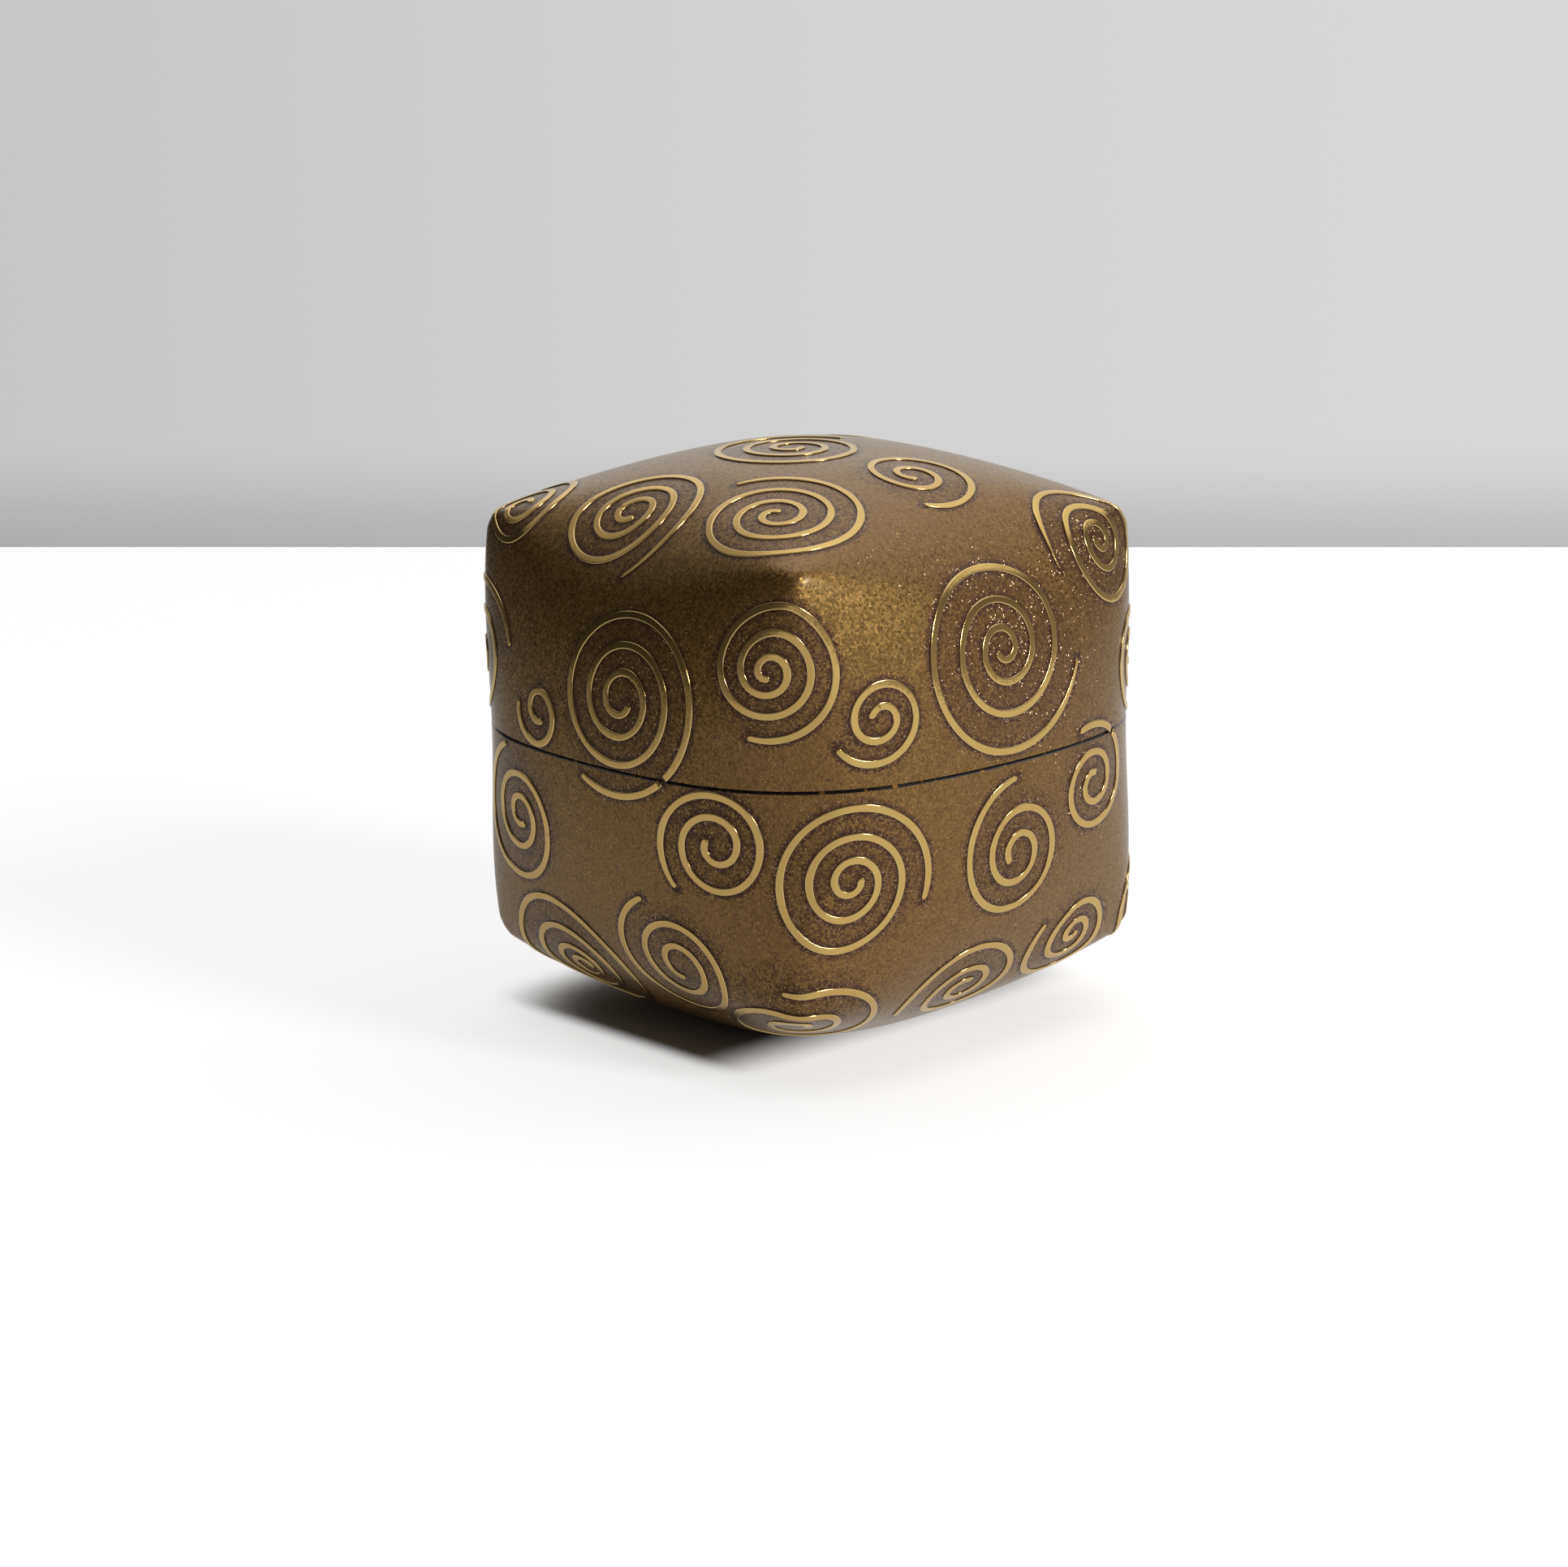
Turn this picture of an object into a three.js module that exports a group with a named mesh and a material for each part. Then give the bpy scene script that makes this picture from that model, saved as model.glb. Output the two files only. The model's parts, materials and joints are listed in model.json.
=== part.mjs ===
// A small lacquered box with a lift-off lid. Its faces are softly domed and its eight corners
// come to little peaks. Thin raised gold lines are laid on it as spirals.
// Millimetres, +Z up. The origin is the middle of the flat foot that the box stands on.
import * as THREE from "three";

// Outer form
const HALF_WIDTH = 31; // from the middle to the corner tips, along x and along y
const HALF_HEIGHT = 30; // from the middle plane up to the upper tips, and down to the lower ones
const SIDE_DOME = 9.3; // how far the middle of a side stands out past the tips
const TOP_DOME = 8.8; // how far the middle of the top rises past the upper tips
const BOTTOM_DOME = 12.2; // how far the bottom would hang below the lower tips, before the foot is cut
const FOOT_CUT = 1.1; // height cut off the bottom dome to make the flat foot
const EDGE_TIGHTNESS = 5.4; // at the middle of an edge: a higher number is a tighter edge
const TIP_TIGHTNESS = 60; // the same at the corner tips

// Walls and the joint between lid and body
const WALL = 4.4;
const INSIDE_EDGE_TIGHTNESS = 4;
const INSIDE_TIP_TIGHTNESS = 8;
const SEAM_RISE = 1.1; // the seam lies this far above the middle plane
const SEAM_CHAMFER = 0.25;
const LIP_WALL = 2.6; // wall left outside the rim
const RIM_CLEARANCE = 0.25;
const RIM_WALL = 1.5;
const RIM_CHAMFER = 0.4;
const RIM_BELOW = 6; // depth of the rim's seat in the body
const RIM_ABOVE = 7; // height of the rim above the seam
const RIM_TOP_GAP = 0.6; // free space over the rim when the lid is on

// Gold lines
const LINE_WIDTH = 1.05;
const LINE_TOP_WIDTH = 0.75;
const LINE_HEIGHT = 0.35;
const LINE_BED = 0.1; // thickness of the lacquer bed between the wood and the line
const LINE_END_WIDTH = 0.5;
const SEAM_MARGIN = 0.3; // a line that crosses the seam stops this far from it on either side

// How finely the surfaces are divided
const AROUND = 64;
const SIDE_RINGS = 5;
const CAP_RINGS = 5;
const STEPS_PER_TURN = 16;
const FEWEST_STEPS = 3;
const SAMPLES_PER_TURN = 90; // where a line is looked at for the seam

// How the surface is found
const HALVINGS = 40;
const NEAREST = 0.4; // the surface lies between these two shares of the flat box through the tips
const FARTHEST = 1.7;
const SLOPE_STEP = 0.01;

const MIDDLE = HALF_HEIGHT + BOTTOM_DOME - FOOT_CUT; // height of the middle plane above the foot
const SEAM = SEAM_RISE; // heights below are taken from the middle plane

const outerForm = {
  halfWidth: HALF_WIDTH,
  halfHeight: HALF_HEIGHT,
  edge: EDGE_TIGHTNESS,
  tip: TIP_TIGHTNESS,
};
const innerForm = {
  halfWidth: HALF_WIDTH - WALL,
  halfHeight: HALF_HEIGHT - WALL,
  edge: INSIDE_EDGE_TIGHTNESS,
  tip: INSIDE_TIP_TIGHTNESS,
};

const lacquer = { color: 0x6e5537, roughness: 0.35, metalness: 0.35 };
const gold = { color: 0xcdac64, roughness: 0.3, metalness: 0.9 };
const blackLacquer = { color: 0x14110f, roughness: 0.25, metalness: 0 };

// The domed cube: 1 on the surface, less inside it and more outside it
function level(point, form) {
  const x = Math.abs(point.x) / form.halfWidth;
  const y = Math.abs(point.y) / form.halfWidth;
  const z = Math.abs(point.z) / form.halfHeight;
  const cornerness = (27 * (x * y * z) ** 2) / (x * x + y * y + z * z) ** 3;
  const softness = Math.sqrt(Math.max(0, 1 - cornerness));
  const power = form.edge / Math.max(softness, form.edge / form.tip);
  const sideRise = SIDE_DOME / form.halfWidth;
  const endRise = (point.z > 0 ? TOP_DOME : BOTTOM_DOME) / form.halfHeight;
  const parts = [
    x / (1 + sideRise * (1 - (y * y + z * z) / 2)),
    y / (1 + sideRise * (1 - (x * x + z * z) / 2)),
    z / (1 + endRise * (1 - (x * x + y * y) / 2)),
  ];
  const most = Math.max(...parts);
  return most * parts.reduce((sum, part) => sum + (part / most) ** power, 0) ** (1 / power);
}

// The value, on the way from low to high, at which the test stops being true
function lastTrue(test, low, high) {
  for (let i = 0; i < HALVINGS; i++) {
    const middle = (low + high) / 2;
    if (test(middle)) low = middle;
    else high = middle;
  }
  return low;
}

// The point of the surface in a direction from the middle
function onSurface(direction, form) {
  const across = Math.max(Math.abs(direction.x), Math.abs(direction.y)) / form.halfWidth;
  const size = Math.max(across, Math.abs(direction.z) / form.halfHeight);
  const unit = direction.clone().divideScalar(size);
  const share = lastTrue((s) => level(unit.clone().multiplyScalar(s), form) < 1, NEAREST, FARTHEST);
  return unit.multiplyScalar(share);
}

// The point of the surface at a height, in a direction out from the axis
function atHeight(outward, height, form) {
  const place = (s) => new THREE.Vector3(outward.x * s, outward.y * s, height);
  return place(lastTrue((s) => level(place(s), form) < 1, 0, form.halfWidth * FARTHEST));
}

function normalAt(point, form) {
  const slope = ["x", "y", "z"].map((axis) => {
    const ahead = point.clone();
    const behind = point.clone();
    ahead[axis] += SLOPE_STEP;
    behind[axis] -= SLOPE_STEP;
    return level(ahead, form) - level(behind, form);
  });
  return new THREE.Vector3(...slope).normalize();
}

// Directions that go once around the axis, on a square of half width 1
const outwards = Array.from({ length: AROUND }, (_, i) => {
  const angle = (2 * Math.PI * i) / AROUND;
  const size = Math.max(Math.abs(Math.cos(angle)), Math.abs(Math.sin(angle)));
  return new THREE.Vector2(Math.cos(angle) / size, Math.sin(angle) / size);
});

// The outline of the box at the seam, drawn in by an offset and set at a height
function outline(offset, height) {
  return outwards.map((outward) => {
    const edge = atHeight(outward, SEAM, outerForm);
    const normal = normalAt(edge, outerForm);
    const inward = new THREE.Vector3(-normal.x, -normal.y, 0).setLength(offset);
    return edge.add(inward).setZ(height);
  });
}

// Rings from a height on the wall, over the edge and in towards the pole.
// With a foot height they end at the flat foot, otherwise one ring short of the pole.
function domeRings(form, start, side, footHeight) {
  const direction = (outward, share, lift) => {
    const out = share * form.halfWidth;
    return new THREE.Vector3(outward.x * out, outward.y * out, lift * form.halfHeight);
  };
  const startRing = outwards.map((outward) => atHeight(outward, start, form));
  const rings = [startRing];
  for (let i = 1; i <= SIDE_RINGS; i++) {
    const ring = outwards.map((outward, j) => {
      const reach = Math.max(Math.abs(startRing[j].x), Math.abs(startRing[j].y)) / form.halfWidth;
      const from = start / form.halfHeight / reach;
      return onSurface(direction(outward, 1, from + ((side - from) * i) / SIDE_RINGS), form);
    });
    rings.push(ring);
  }
  for (let i = 1; i < CAP_RINGS; i++) {
    const ring = outwards.map((outward) => {
      const foot = footHeight === undefined ? 0 : footShare(outward, footHeight, form);
      return onSurface(direction(outward, 1 - ((1 - foot) * i) / CAP_RINGS, side), form);
    });
    rings.push(ring);
  }
  if (footHeight !== undefined) rings.push(outwards.map((outward) => atHeight(outward, footHeight, form)));
  return rings;
}

// How far out the foot reaches, as a share of the square ring under the tips
function footShare(outward, footHeight, form) {
  const edge = atHeight(outward, footHeight, form);
  const across = Math.max(Math.abs(edge.x), Math.abs(edge.y)) / form.halfWidth;
  return across / (Math.abs(footHeight) / form.halfHeight);
}

// A closed solid from rings of equal counts. An end may be closed by one point, or the
// rings may join up with the first one.
function solid(rings, firstPole, lastPole) {
  const count = rings[0].length;
  const points = rings.flat();
  const faces = [];
  const strip = (a, b) => {
    for (let i = 0; i < count; i++) {
      const next = (i + 1) % count;
      faces.push([a * count + i, a * count + next, b * count + next]);
      faces.push([a * count + i, b * count + next, b * count + i]);
    }
  };
  for (let r = 0; r + 1 < rings.length; r++) strip(r, r + 1);
  if (firstPole === undefined) {
    strip(rings.length - 1, 0);
  } else {
    const lastRing = (rings.length - 1) * count;
    points.push(firstPole, lastPole);
    for (let i = 0; i < count; i++) {
      const next = (i + 1) % count;
      faces.push([points.length - 2, next, i]);
      faces.push([points.length - 1, lastRing + i, lastRing + next]);
    }
  }
  return closedGeometry(points, faces);
}

// Faces are turned outwards, by the sign of the volume that they close
function closedGeometry(points, faces) {
  const volume = faces.reduce((sum, [a, b, c]) => {
    const cross = new THREE.Vector3().crossVectors(points[b], points[c]);
    return sum + points[a].dot(cross) / 6;
  }, 0);
  const outwardFaces = volume > 0 ? faces : faces.map(([a, b, c]) => [a, c, b]);
  const positions = points.flatMap((point) => [point.x, point.y, point.z + MIDDLE]);
  const geometry = new THREE.BufferGeometry();
  geometry.setAttribute("position", new THREE.Float32BufferAttribute(positions, 3));
  geometry.setIndex(outwardFaces.flat());
  geometry.computeVertexNormals();
  return geometry;
}

function bodyShell() {
  const footHeight = FOOT_CUT - HALF_HEIGHT - BOTTOM_DOME;
  const outside = domeRings(outerForm, SEAM - SEAM_CHAMFER, -1, footHeight).reverse();
  const lip = [outline(SEAM_CHAMFER, SEAM), outline(LIP_WALL, SEAM), outline(LIP_WALL, SEAM - RIM_BELOW)];
  const inside = domeRings(innerForm, SEAM - RIM_BELOW, -1);
  const floor = onSurface(new THREE.Vector3(0, 0, -1), innerForm);
  return solid([...outside, ...lip, ...inside], new THREE.Vector3(0, 0, footHeight), floor);
}

function lidShell() {
  const recess = SEAM + RIM_ABOVE + RIM_TOP_GAP;
  const outside = domeRings(outerForm, SEAM + SEAM_CHAMFER, 1).reverse();
  const lip = [outline(SEAM_CHAMFER, SEAM), outline(LIP_WALL, SEAM), outline(LIP_WALL, recess)];
  const inside = domeRings(innerForm, recess, 1);
  const up = new THREE.Vector3(0, 0, 1);
  return solid([...outside, ...lip, ...inside], onSurface(up, outerForm), onSurface(up, innerForm));
}

function innerRim() {
  const outer = LIP_WALL + RIM_CLEARANCE;
  const inner = outer + RIM_WALL;
  const bottom = SEAM - RIM_BELOW;
  const top = SEAM + RIM_ABOVE;
  return solid([
    outline(outer, bottom),
    outline(outer, top - RIM_CHAMFER),
    outline(outer + RIM_CHAMFER, top),
    outline(inner, top),
    outline(inner, bottom),
  ]);
}

// Each face of the box, seen from outside: where it looks, and which way is right on it
const faces = {
  left: { middle: [-1, 0, 0], right: [0, -1, 0] },
  front: { middle: [0, -1, 0], right: [1, 0, 0] },
  right: { middle: [1, 0, 0], right: [0, 1, 0] },
  back: { middle: [0, 1, 0], right: [-1, 0, 0] },
  top: { middle: [0, 0, 1], right: [1, 0, 0] },
  base: { middle: [0, 0, -1], right: [1, 0, 0] },
};

const CORE = 3.5; // radius at which a line starts, at the middle of its spiral

// The gold spirals, face by face. Lengths are in hundredths of the half width of the face, taken on
// the flat square between its four tips, and grow with it as the face domes out.
// at is the centre, to the right of and above the middle of the face. radius and turns give the
// size, and end is the angle of the outer end, 0 at the right and 90 at the top. Going in from that
// end the line turns clockwise, or the other way where turns is negative. core is the radius at the
// inner end. With a swell over 1 the coils lie closer together near the middle. stretch makes a
// spiral longer along lean, and narrower across it. drift is how far the centre of the coils has
// moved at the outer end. Where a spiral crosses the seam it is cut there.
const spirals = {
  top: [
    { at: [-90.7, 77.6], radius: 22.8, turns: 2.27, end: 41, core: 3, stretch: 1.1, lean: -15 },
    { at: [-80, 13.3], radius: 33.8, turns: -3.05, end: 217,
      core: 4.6, swell: 1.35, stretch: 1.06, lean: -26, drift: [-3.9, 1] },
    { at: [-60.6, -50.1], radius: 35.7, turns: 3.17, end: 73,
      core: 2.7, swell: 1.17, drift: [-0.8, -0.8] },
    { at: [-3.2, 2.3], radius: 29.2, turns: -2.91, end: 11,
      core: 2.4, swell: 1.15, stretch: 1.03, lean: -55 },
    { at: [6.5, -48.2], radius: 24.1, turns: -2.11, end: 236,
      core: 3.1, swell: 1.39, stretch: 1.02, lean: -79, drift: [1.9, -0.2] },
    { at: [70, 40], radius: 21, turns: 2.5, end: 60 },
    { at: [-24, 90], radius: 17, turns: -2, end: 200 },
    { at: [32, 85], radius: 21, turns: 2.3, end: 300 },
    { at: [94, -24], radius: 18, turns: -2, end: 150 },
    { at: [89, 85], radius: 18, turns: 2, end: 250 },
  ],
  left: [
    { at: [-96.9, 37.2], radius: 39.1, turns: -2.22, end: 20,
      core: 3, stretch: 1.09, lean: 27, drift: [1, -1.9] },
    { at: [-27.1, 17.8], radius: 12.6, turns: -1.36, end: 165,
      stretch: 1.04, lean: -59, drift: [-2.2, -2] },
    { at: [15.3, 28.8], radius: 36.3, turns: -3.31, end: 238,
      core: 4.5, swell: 1.27, stretch: 1.02, lean: -89, drift: [0.1, 1.3] },
    { at: [85.3, 53.1], radius: 30.6, turns: -3.12, end: 252,
      core: 2.3, swell: 1.23, stretch: 1.04, lean: 65, drift: [2.2, 3.1] },
    { at: [-43.6, -24.2], radius: 28.8, turns: -2.55, end: 104,
      core: 4, swell: 1.36, stretch: 1.03, lean: 57, drift: [-3.9, -3.3] },
    { at: [58.7, -18], radius: 24.4, turns: 2.2, end: 224,
      stretch: 1.01, lean: 79, drift: [-0.9, -2.9] },
    { at: [-37, -101.1], radius: 42.4, turns: 3.64, end: 213,
      core: 4, swell: 1.63, stretch: 1.06, lean: -55, drift: [-0.2, 1.2] },
    { at: [35.1, -74.3], radius: 31.5, turns: -2.44, end: 107,
      core: 6.2, swell: 1.25, stretch: 1.02, lean: 60, drift: [-2.7, -1.6] },
  ],
  front: [
    { at: [-57.5, 28.5], radius: 18.8, turns: -1.88, end: 209,
      core: 4, swell: 1.35, stretch: 1.04, lean: 43, drift: [-0.8, 1.2] },
    { at: [-0.4, 43.9], radius: 40.4, turns: 3.44, end: 344,
      core: 3.1, swell: 1.41, stretch: 1.04, lean: 66, drift: [0.1, 1.4] },
    { at: [70, 83.8], radius: 33.1, turns: 3.1, end: 195,
      core: 3.2, swell: 1.56, stretch: 1.11, lean: -76, drift: [0.2, -1.2] },
    { at: [-71.6, -32.3], radius: 35.1, turns: -3.09, end: 341,
      swell: 1.31, stretch: 1.04, lean: 60, drift: [-1.7, -3.6] },
    { at: [3.7, -30.6], radius: 26.8, turns: -2.36, end: 94,
      core: 4.8, swell: 1.32, stretch: 1.05, lean: -80 },
    { at: [44.5, -13.8], radius: 22.7, turns: 2.13, end: 114,
      core: 3.9, swell: 1.26, stretch: 1.02, lean: 12, drift: [0.6, 0.5] },
    { at: [51.6, -82.4], radius: 25.3, turns: -2.59, end: 149,
      core: 1.8, swell: 1.3, stretch: 1.05, lean: 80, drift: [-0.5, -3.5] },
  ],
  right: [
    { at: [-98.4, 31.5], radius: 28.5, turns: 2.4, end: 20 },
    { at: [-85, -85], radius: 24, turns: -2.3, end: 60 },
    { at: [-16, 46], radius: 29, turns: -2.9, end: 220 },
    { at: [58, 33], radius: 23, turns: 2.3, end: 130 },
    { at: [5, -35], radius: 24, turns: 2.6, end: 330 },
    { at: [68, -40], radius: 21, turns: -2.2, end: 240 },
    { at: [32, -90], radius: 18, turns: -2, end: 80 },
  ],
  back: [
    { at: [-65, 57], radius: 27, turns: -2.6, end: 60 },
    { at: [10, 30], radius: 32, turns: 3, end: 275 },
    { at: [-71, -35], radius: 27, turns: 2.4, end: 80 },
    { at: [-3, -58], radius: 23, turns: -2.3, end: 30 },
    { at: [61, -30], radius: 23, turns: 2.3, end: 200 },
    { at: [45, -90], radius: 20, turns: -2, end: 130 },
  ],
  base: [
    { at: [-85.6, 82.7], radius: 39.2, turns: 2.4, end: 143,
      core: 4.5, swell: 1.35, stretch: 1.08, lean: 87, drift: [7.9, -10.4] },
    { at: [-1.2, 92.2], radius: 31.4, turns: 2.4, end: 201,
      core: 5, swell: 1.43, stretch: 1.03, lean: -11, drift: [-1.5, 0.3] },
    { at: [82, 26], radius: 19, turns: -2.2, end: 90 },
    { at: [77, -74], radius: 22, turns: 2.2, end: 40 },
    { at: [13, -79], radius: 18, turns: -2, end: 320 },
  ],
};

// A spiral is drawn on the plane that touches the surface at its centre, then carried to the surface
function spiralPoint(line, share) {
  const form = outerForm;
  const middle = new THREE.Vector3(...faces[line.face].middle);
  const right = new THREE.Vector3(...faces[line.face].right);
  const up = new THREE.Vector3().crossVectors(middle, right);
  const upright = middle.z === 0;
  const reach = upright ? form.halfWidth : form.halfHeight;
  const unitAcross = form.halfWidth / 100;
  const unitUp = (upright ? form.halfHeight : form.halfWidth) / 100;
  const flatCentre = middle.multiplyScalar(reach)
    .addScaledVector(right, line.at[0] * unitAcross)
    .addScaledVector(up, line.at[1] * unitUp);
  const centre = onSurface(flatCentre, form);
  const growth = centre.length() / flatCentre.length();
  const normal = normalAt(centre, form);
  const flatRight = right.addScaledVector(normal, -right.dot(normal)).normalize();
  const flatUp = new THREE.Vector3().crossVectors(normal, flatRight);
  const [x, y] = coil(line, share);
  centre.addScaledVector(flatRight, x * unitAcross * growth).addScaledVector(flatUp, y * unitUp * growth);
  return onSurface(centre, form);
}

// A point of a flat spiral, from its inner end at share 0 to its outer end at share 1
function coil(line, share) {
  const { radius, turns, end, core = CORE, swell = 1, stretch = 1, lean = 0, drift = [0, 0] } = line;
  const out = core + (radius - core) * share ** swell;
  const turned = THREE.MathUtils.degToRad(end - 360 * turns * (1 - share));
  const leaning = THREE.MathUtils.degToRad(lean);
  const along = out * Math.cos(turned - leaning) * stretch;
  const beside = (out * Math.sin(turned - leaning)) / stretch;
  return [
    along * Math.cos(leaning) - beside * Math.sin(leaning) + drift[0] * share,
    along * Math.sin(leaning) + beside * Math.cos(leaning) + drift[1] * share,
  ];
}

// The stretches of a spiral that lie on the lid or on the body, as shares of its length
function stretches(line) {
  const samples = Math.ceil(Math.abs(line.turns) * SAMPLES_PER_TURN);
  const partAt = (share) => {
    const height = spiralPoint(line, share).z - SEAM;
    return Math.abs(height) < SEAM_MARGIN ? null : height > 0 ? "lid" : "body";
  };
  const found = [];
  let open = null;
  for (let i = 0; i <= samples; i++) {
    const part = partAt(i / samples);
    if (open !== null && open.part === part) open.to = i / samples;
    else if (part === null) open = null;
    else found.push((open = { part, from: i / samples, to: i / samples }));
  }
  return found.filter(({ from, to }) => to > from).map(({ part, from, to }) => ({
    from: from === 0 ? 0 : lastTrue((share) => partAt(share) === part, from, from - 1 / samples),
    to: to === 1 ? 1 : lastTrue((share) => partAt(share) === part, to, to + 1 / samples),
  }));
}

// A raised line with a flat top, along one stretch of a spiral
function goldLine(line, { from, to }) {
  const steps = Math.max(FEWEST_STEPS, Math.round(Math.abs(line.turns) * (to - from) * STEPS_PER_TURN));
  const shares = Array.from({ length: steps + 1 }, (_, i) => from + ((to - from) * i) / steps);
  const points = shares.map((share) => spiralPoint(line, share));
  const rings = points.map((point, i) => {
    const before = points[Math.max(0, i - 1)];
    const after = points[Math.min(steps, i + 1)];
    const normal = normalAt(point, outerForm);
    const along = new THREE.Vector3().subVectors(after, before).normalize();
    const across = new THREE.Vector3().crossVectors(normal, along).normalize();
    const lift = LINE_BED + Math.max(bulge(before, point), bulge(point, after));
    const atEnd = i === 0 || i === steps;
    const width = atEnd ? LINE_END_WIDTH : LINE_WIDTH;
    const topWidth = (width * LINE_TOP_WIDTH) / LINE_WIDTH;
    const corner = (side, height) =>
      point.clone().addScaledVector(across, side / 2).addScaledVector(normal, lift + height);
    return [
      corner(-width, 0),
      corner(width, 0),
      corner(topWidth, LINE_HEIGHT),
      corner(-topWidth, LINE_HEIGHT),
    ];
  });
  return closedBar(rings);
}

// How far the surface stands out over the straight line between two points on it
function bulge(a, b) {
  const middle = new THREE.Vector3().addVectors(a, b).multiplyScalar(0.5);
  return onSurface(middle, outerForm).distanceTo(middle);
}

// A bar with four-cornered sections and flat ends
function closedBar(sections) {
  const points = sections.flat();
  const bars = [];
  const last = (sections.length - 1) * 4;
  for (let s = 0; s < last; s += 4) {
    for (let i = 0; i < 4; i++) {
      const next = (i + 1) % 4;
      bars.push([s + i, s + next, s + 4 + next], [s + i, s + 4 + next, s + 4 + i]);
    }
  }
  bars.push([0, 2, 1], [0, 3, 2], [last, last + 1, last + 2], [last, last + 2, last + 3]);
  return closedGeometry(points, bars);
}

function piece(name, geometry, finish) {
  const mesh = new THREE.Mesh(geometry, new THREE.MeshStandardMaterial(finish));
  mesh.name = name;
  return mesh;
}

const box = new THREE.Group();
box.add(piece("body_shell", bodyShell(), lacquer));
box.add(piece("inner_rim", innerRim(), blackLacquer));
box.add(piece("lid_shell", lidShell(), lacquer));
for (const [face, lines] of Object.entries(spirals)) {
  lines.forEach((line, i) => {
    const placed = { face, ...line };
    stretches(placed).forEach((stretch, part) => {
      const tail = part === 0 ? "" : `_tail_${part}`;
      box.add(piece(`${face}_spiral_${i + 1}${tail}`, goldLine(placed, stretch), gold));
    });
  });
}

export default box;
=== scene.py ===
# %% [markdown]
# A small lacquered box with a lift-off lid. The wood is turned and carved to a soft cube with
# domed faces and eight little peaks. Its ground is dark lacquer, dusted with gold powder while
# wet. Thin raised lines of polished gold lie on it as spirals, with dark lacquer left around them.
# The solids of the real size are loaded first. Each piece below is a finer surface for one of them.

# %% Load the solids
import json
from math import cos, pi, radians, sin

import bmesh
import bpy
import numpy as np
from mathutils import Matrix, Vector, noise
from mathutils.kdtree import KDTree

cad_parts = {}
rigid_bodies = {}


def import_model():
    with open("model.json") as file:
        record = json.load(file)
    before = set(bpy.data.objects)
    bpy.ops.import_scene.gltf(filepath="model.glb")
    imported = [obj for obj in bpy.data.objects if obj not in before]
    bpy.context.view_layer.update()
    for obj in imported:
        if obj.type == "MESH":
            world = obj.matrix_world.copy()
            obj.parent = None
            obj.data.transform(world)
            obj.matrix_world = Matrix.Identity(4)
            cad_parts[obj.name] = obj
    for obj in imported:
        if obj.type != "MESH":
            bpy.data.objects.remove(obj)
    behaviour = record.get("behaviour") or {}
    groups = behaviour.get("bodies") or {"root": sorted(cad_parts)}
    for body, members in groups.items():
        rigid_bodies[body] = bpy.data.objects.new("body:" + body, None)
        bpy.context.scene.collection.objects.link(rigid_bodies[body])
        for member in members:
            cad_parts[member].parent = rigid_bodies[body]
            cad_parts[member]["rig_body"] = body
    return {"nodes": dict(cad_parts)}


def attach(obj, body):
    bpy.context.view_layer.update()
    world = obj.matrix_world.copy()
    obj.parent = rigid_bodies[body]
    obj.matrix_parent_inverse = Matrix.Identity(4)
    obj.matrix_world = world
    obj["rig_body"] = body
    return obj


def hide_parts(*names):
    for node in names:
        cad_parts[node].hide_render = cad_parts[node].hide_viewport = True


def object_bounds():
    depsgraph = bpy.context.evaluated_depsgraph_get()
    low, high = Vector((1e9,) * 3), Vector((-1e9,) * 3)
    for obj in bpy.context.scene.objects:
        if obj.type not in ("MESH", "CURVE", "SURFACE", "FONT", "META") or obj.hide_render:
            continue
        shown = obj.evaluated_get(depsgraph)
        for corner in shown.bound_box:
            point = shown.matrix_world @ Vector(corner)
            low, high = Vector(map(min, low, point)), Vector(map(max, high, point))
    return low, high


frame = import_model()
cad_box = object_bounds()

# %% [markdown]
# The form could be sculpted, or made by smoothing a cube, but neither gives back an exact size.
# A formula does: it says how far inside or outside the box a point is, from three domed pairs of
# faces that are blended with a power. A high power gives a tight edge. The power rises towards
# the corners, so that they come to peaks while the edges between them stay soft.

# %% The form of the box, in millimetres
MM = 0.001

HALF_WIDTH = 31  # from the middle to the corner tips, along x and along y
HALF_HEIGHT = 30  # from the middle plane up to the upper tips, and down to the lower ones
SIDE_DOME = 9.3  # how far the middle of a side stands out past the tips
TOP_DOME = 8.8
BOTTOM_DOME = 12.2
FOOT_CUT = 1.1  # height cut off the bottom dome to make the flat foot
WALL = 4.4
SEAM_RISE = 1.1  # the seam lies this far above the middle plane
MIDDLE = HALF_HEIGHT + BOTTOM_DOME - FOOT_CUT  # height of the middle plane above the foot

OUTSIDE = {"half_width": HALF_WIDTH, "half_height": HALF_HEIGHT, "edge": 5.4, "tip": 60}
INSIDE = {"half_width": HALF_WIDTH - WALL, "half_height": HALF_HEIGHT - WALL, "edge": 4, "tip": 8}

HALVINGS = 34
NEAREST = 0.4  # the surface lies between these two shares of the flat box through the tips
FARTHEST = 1.7
SLOPE_STEP = 0.01


def unit_rows(rows):
    return rows / np.linalg.norm(rows, axis=1, keepdims=True)


def half_sizes(form):
    return np.array([form["half_width"], form["half_width"], form["half_height"]])


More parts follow.
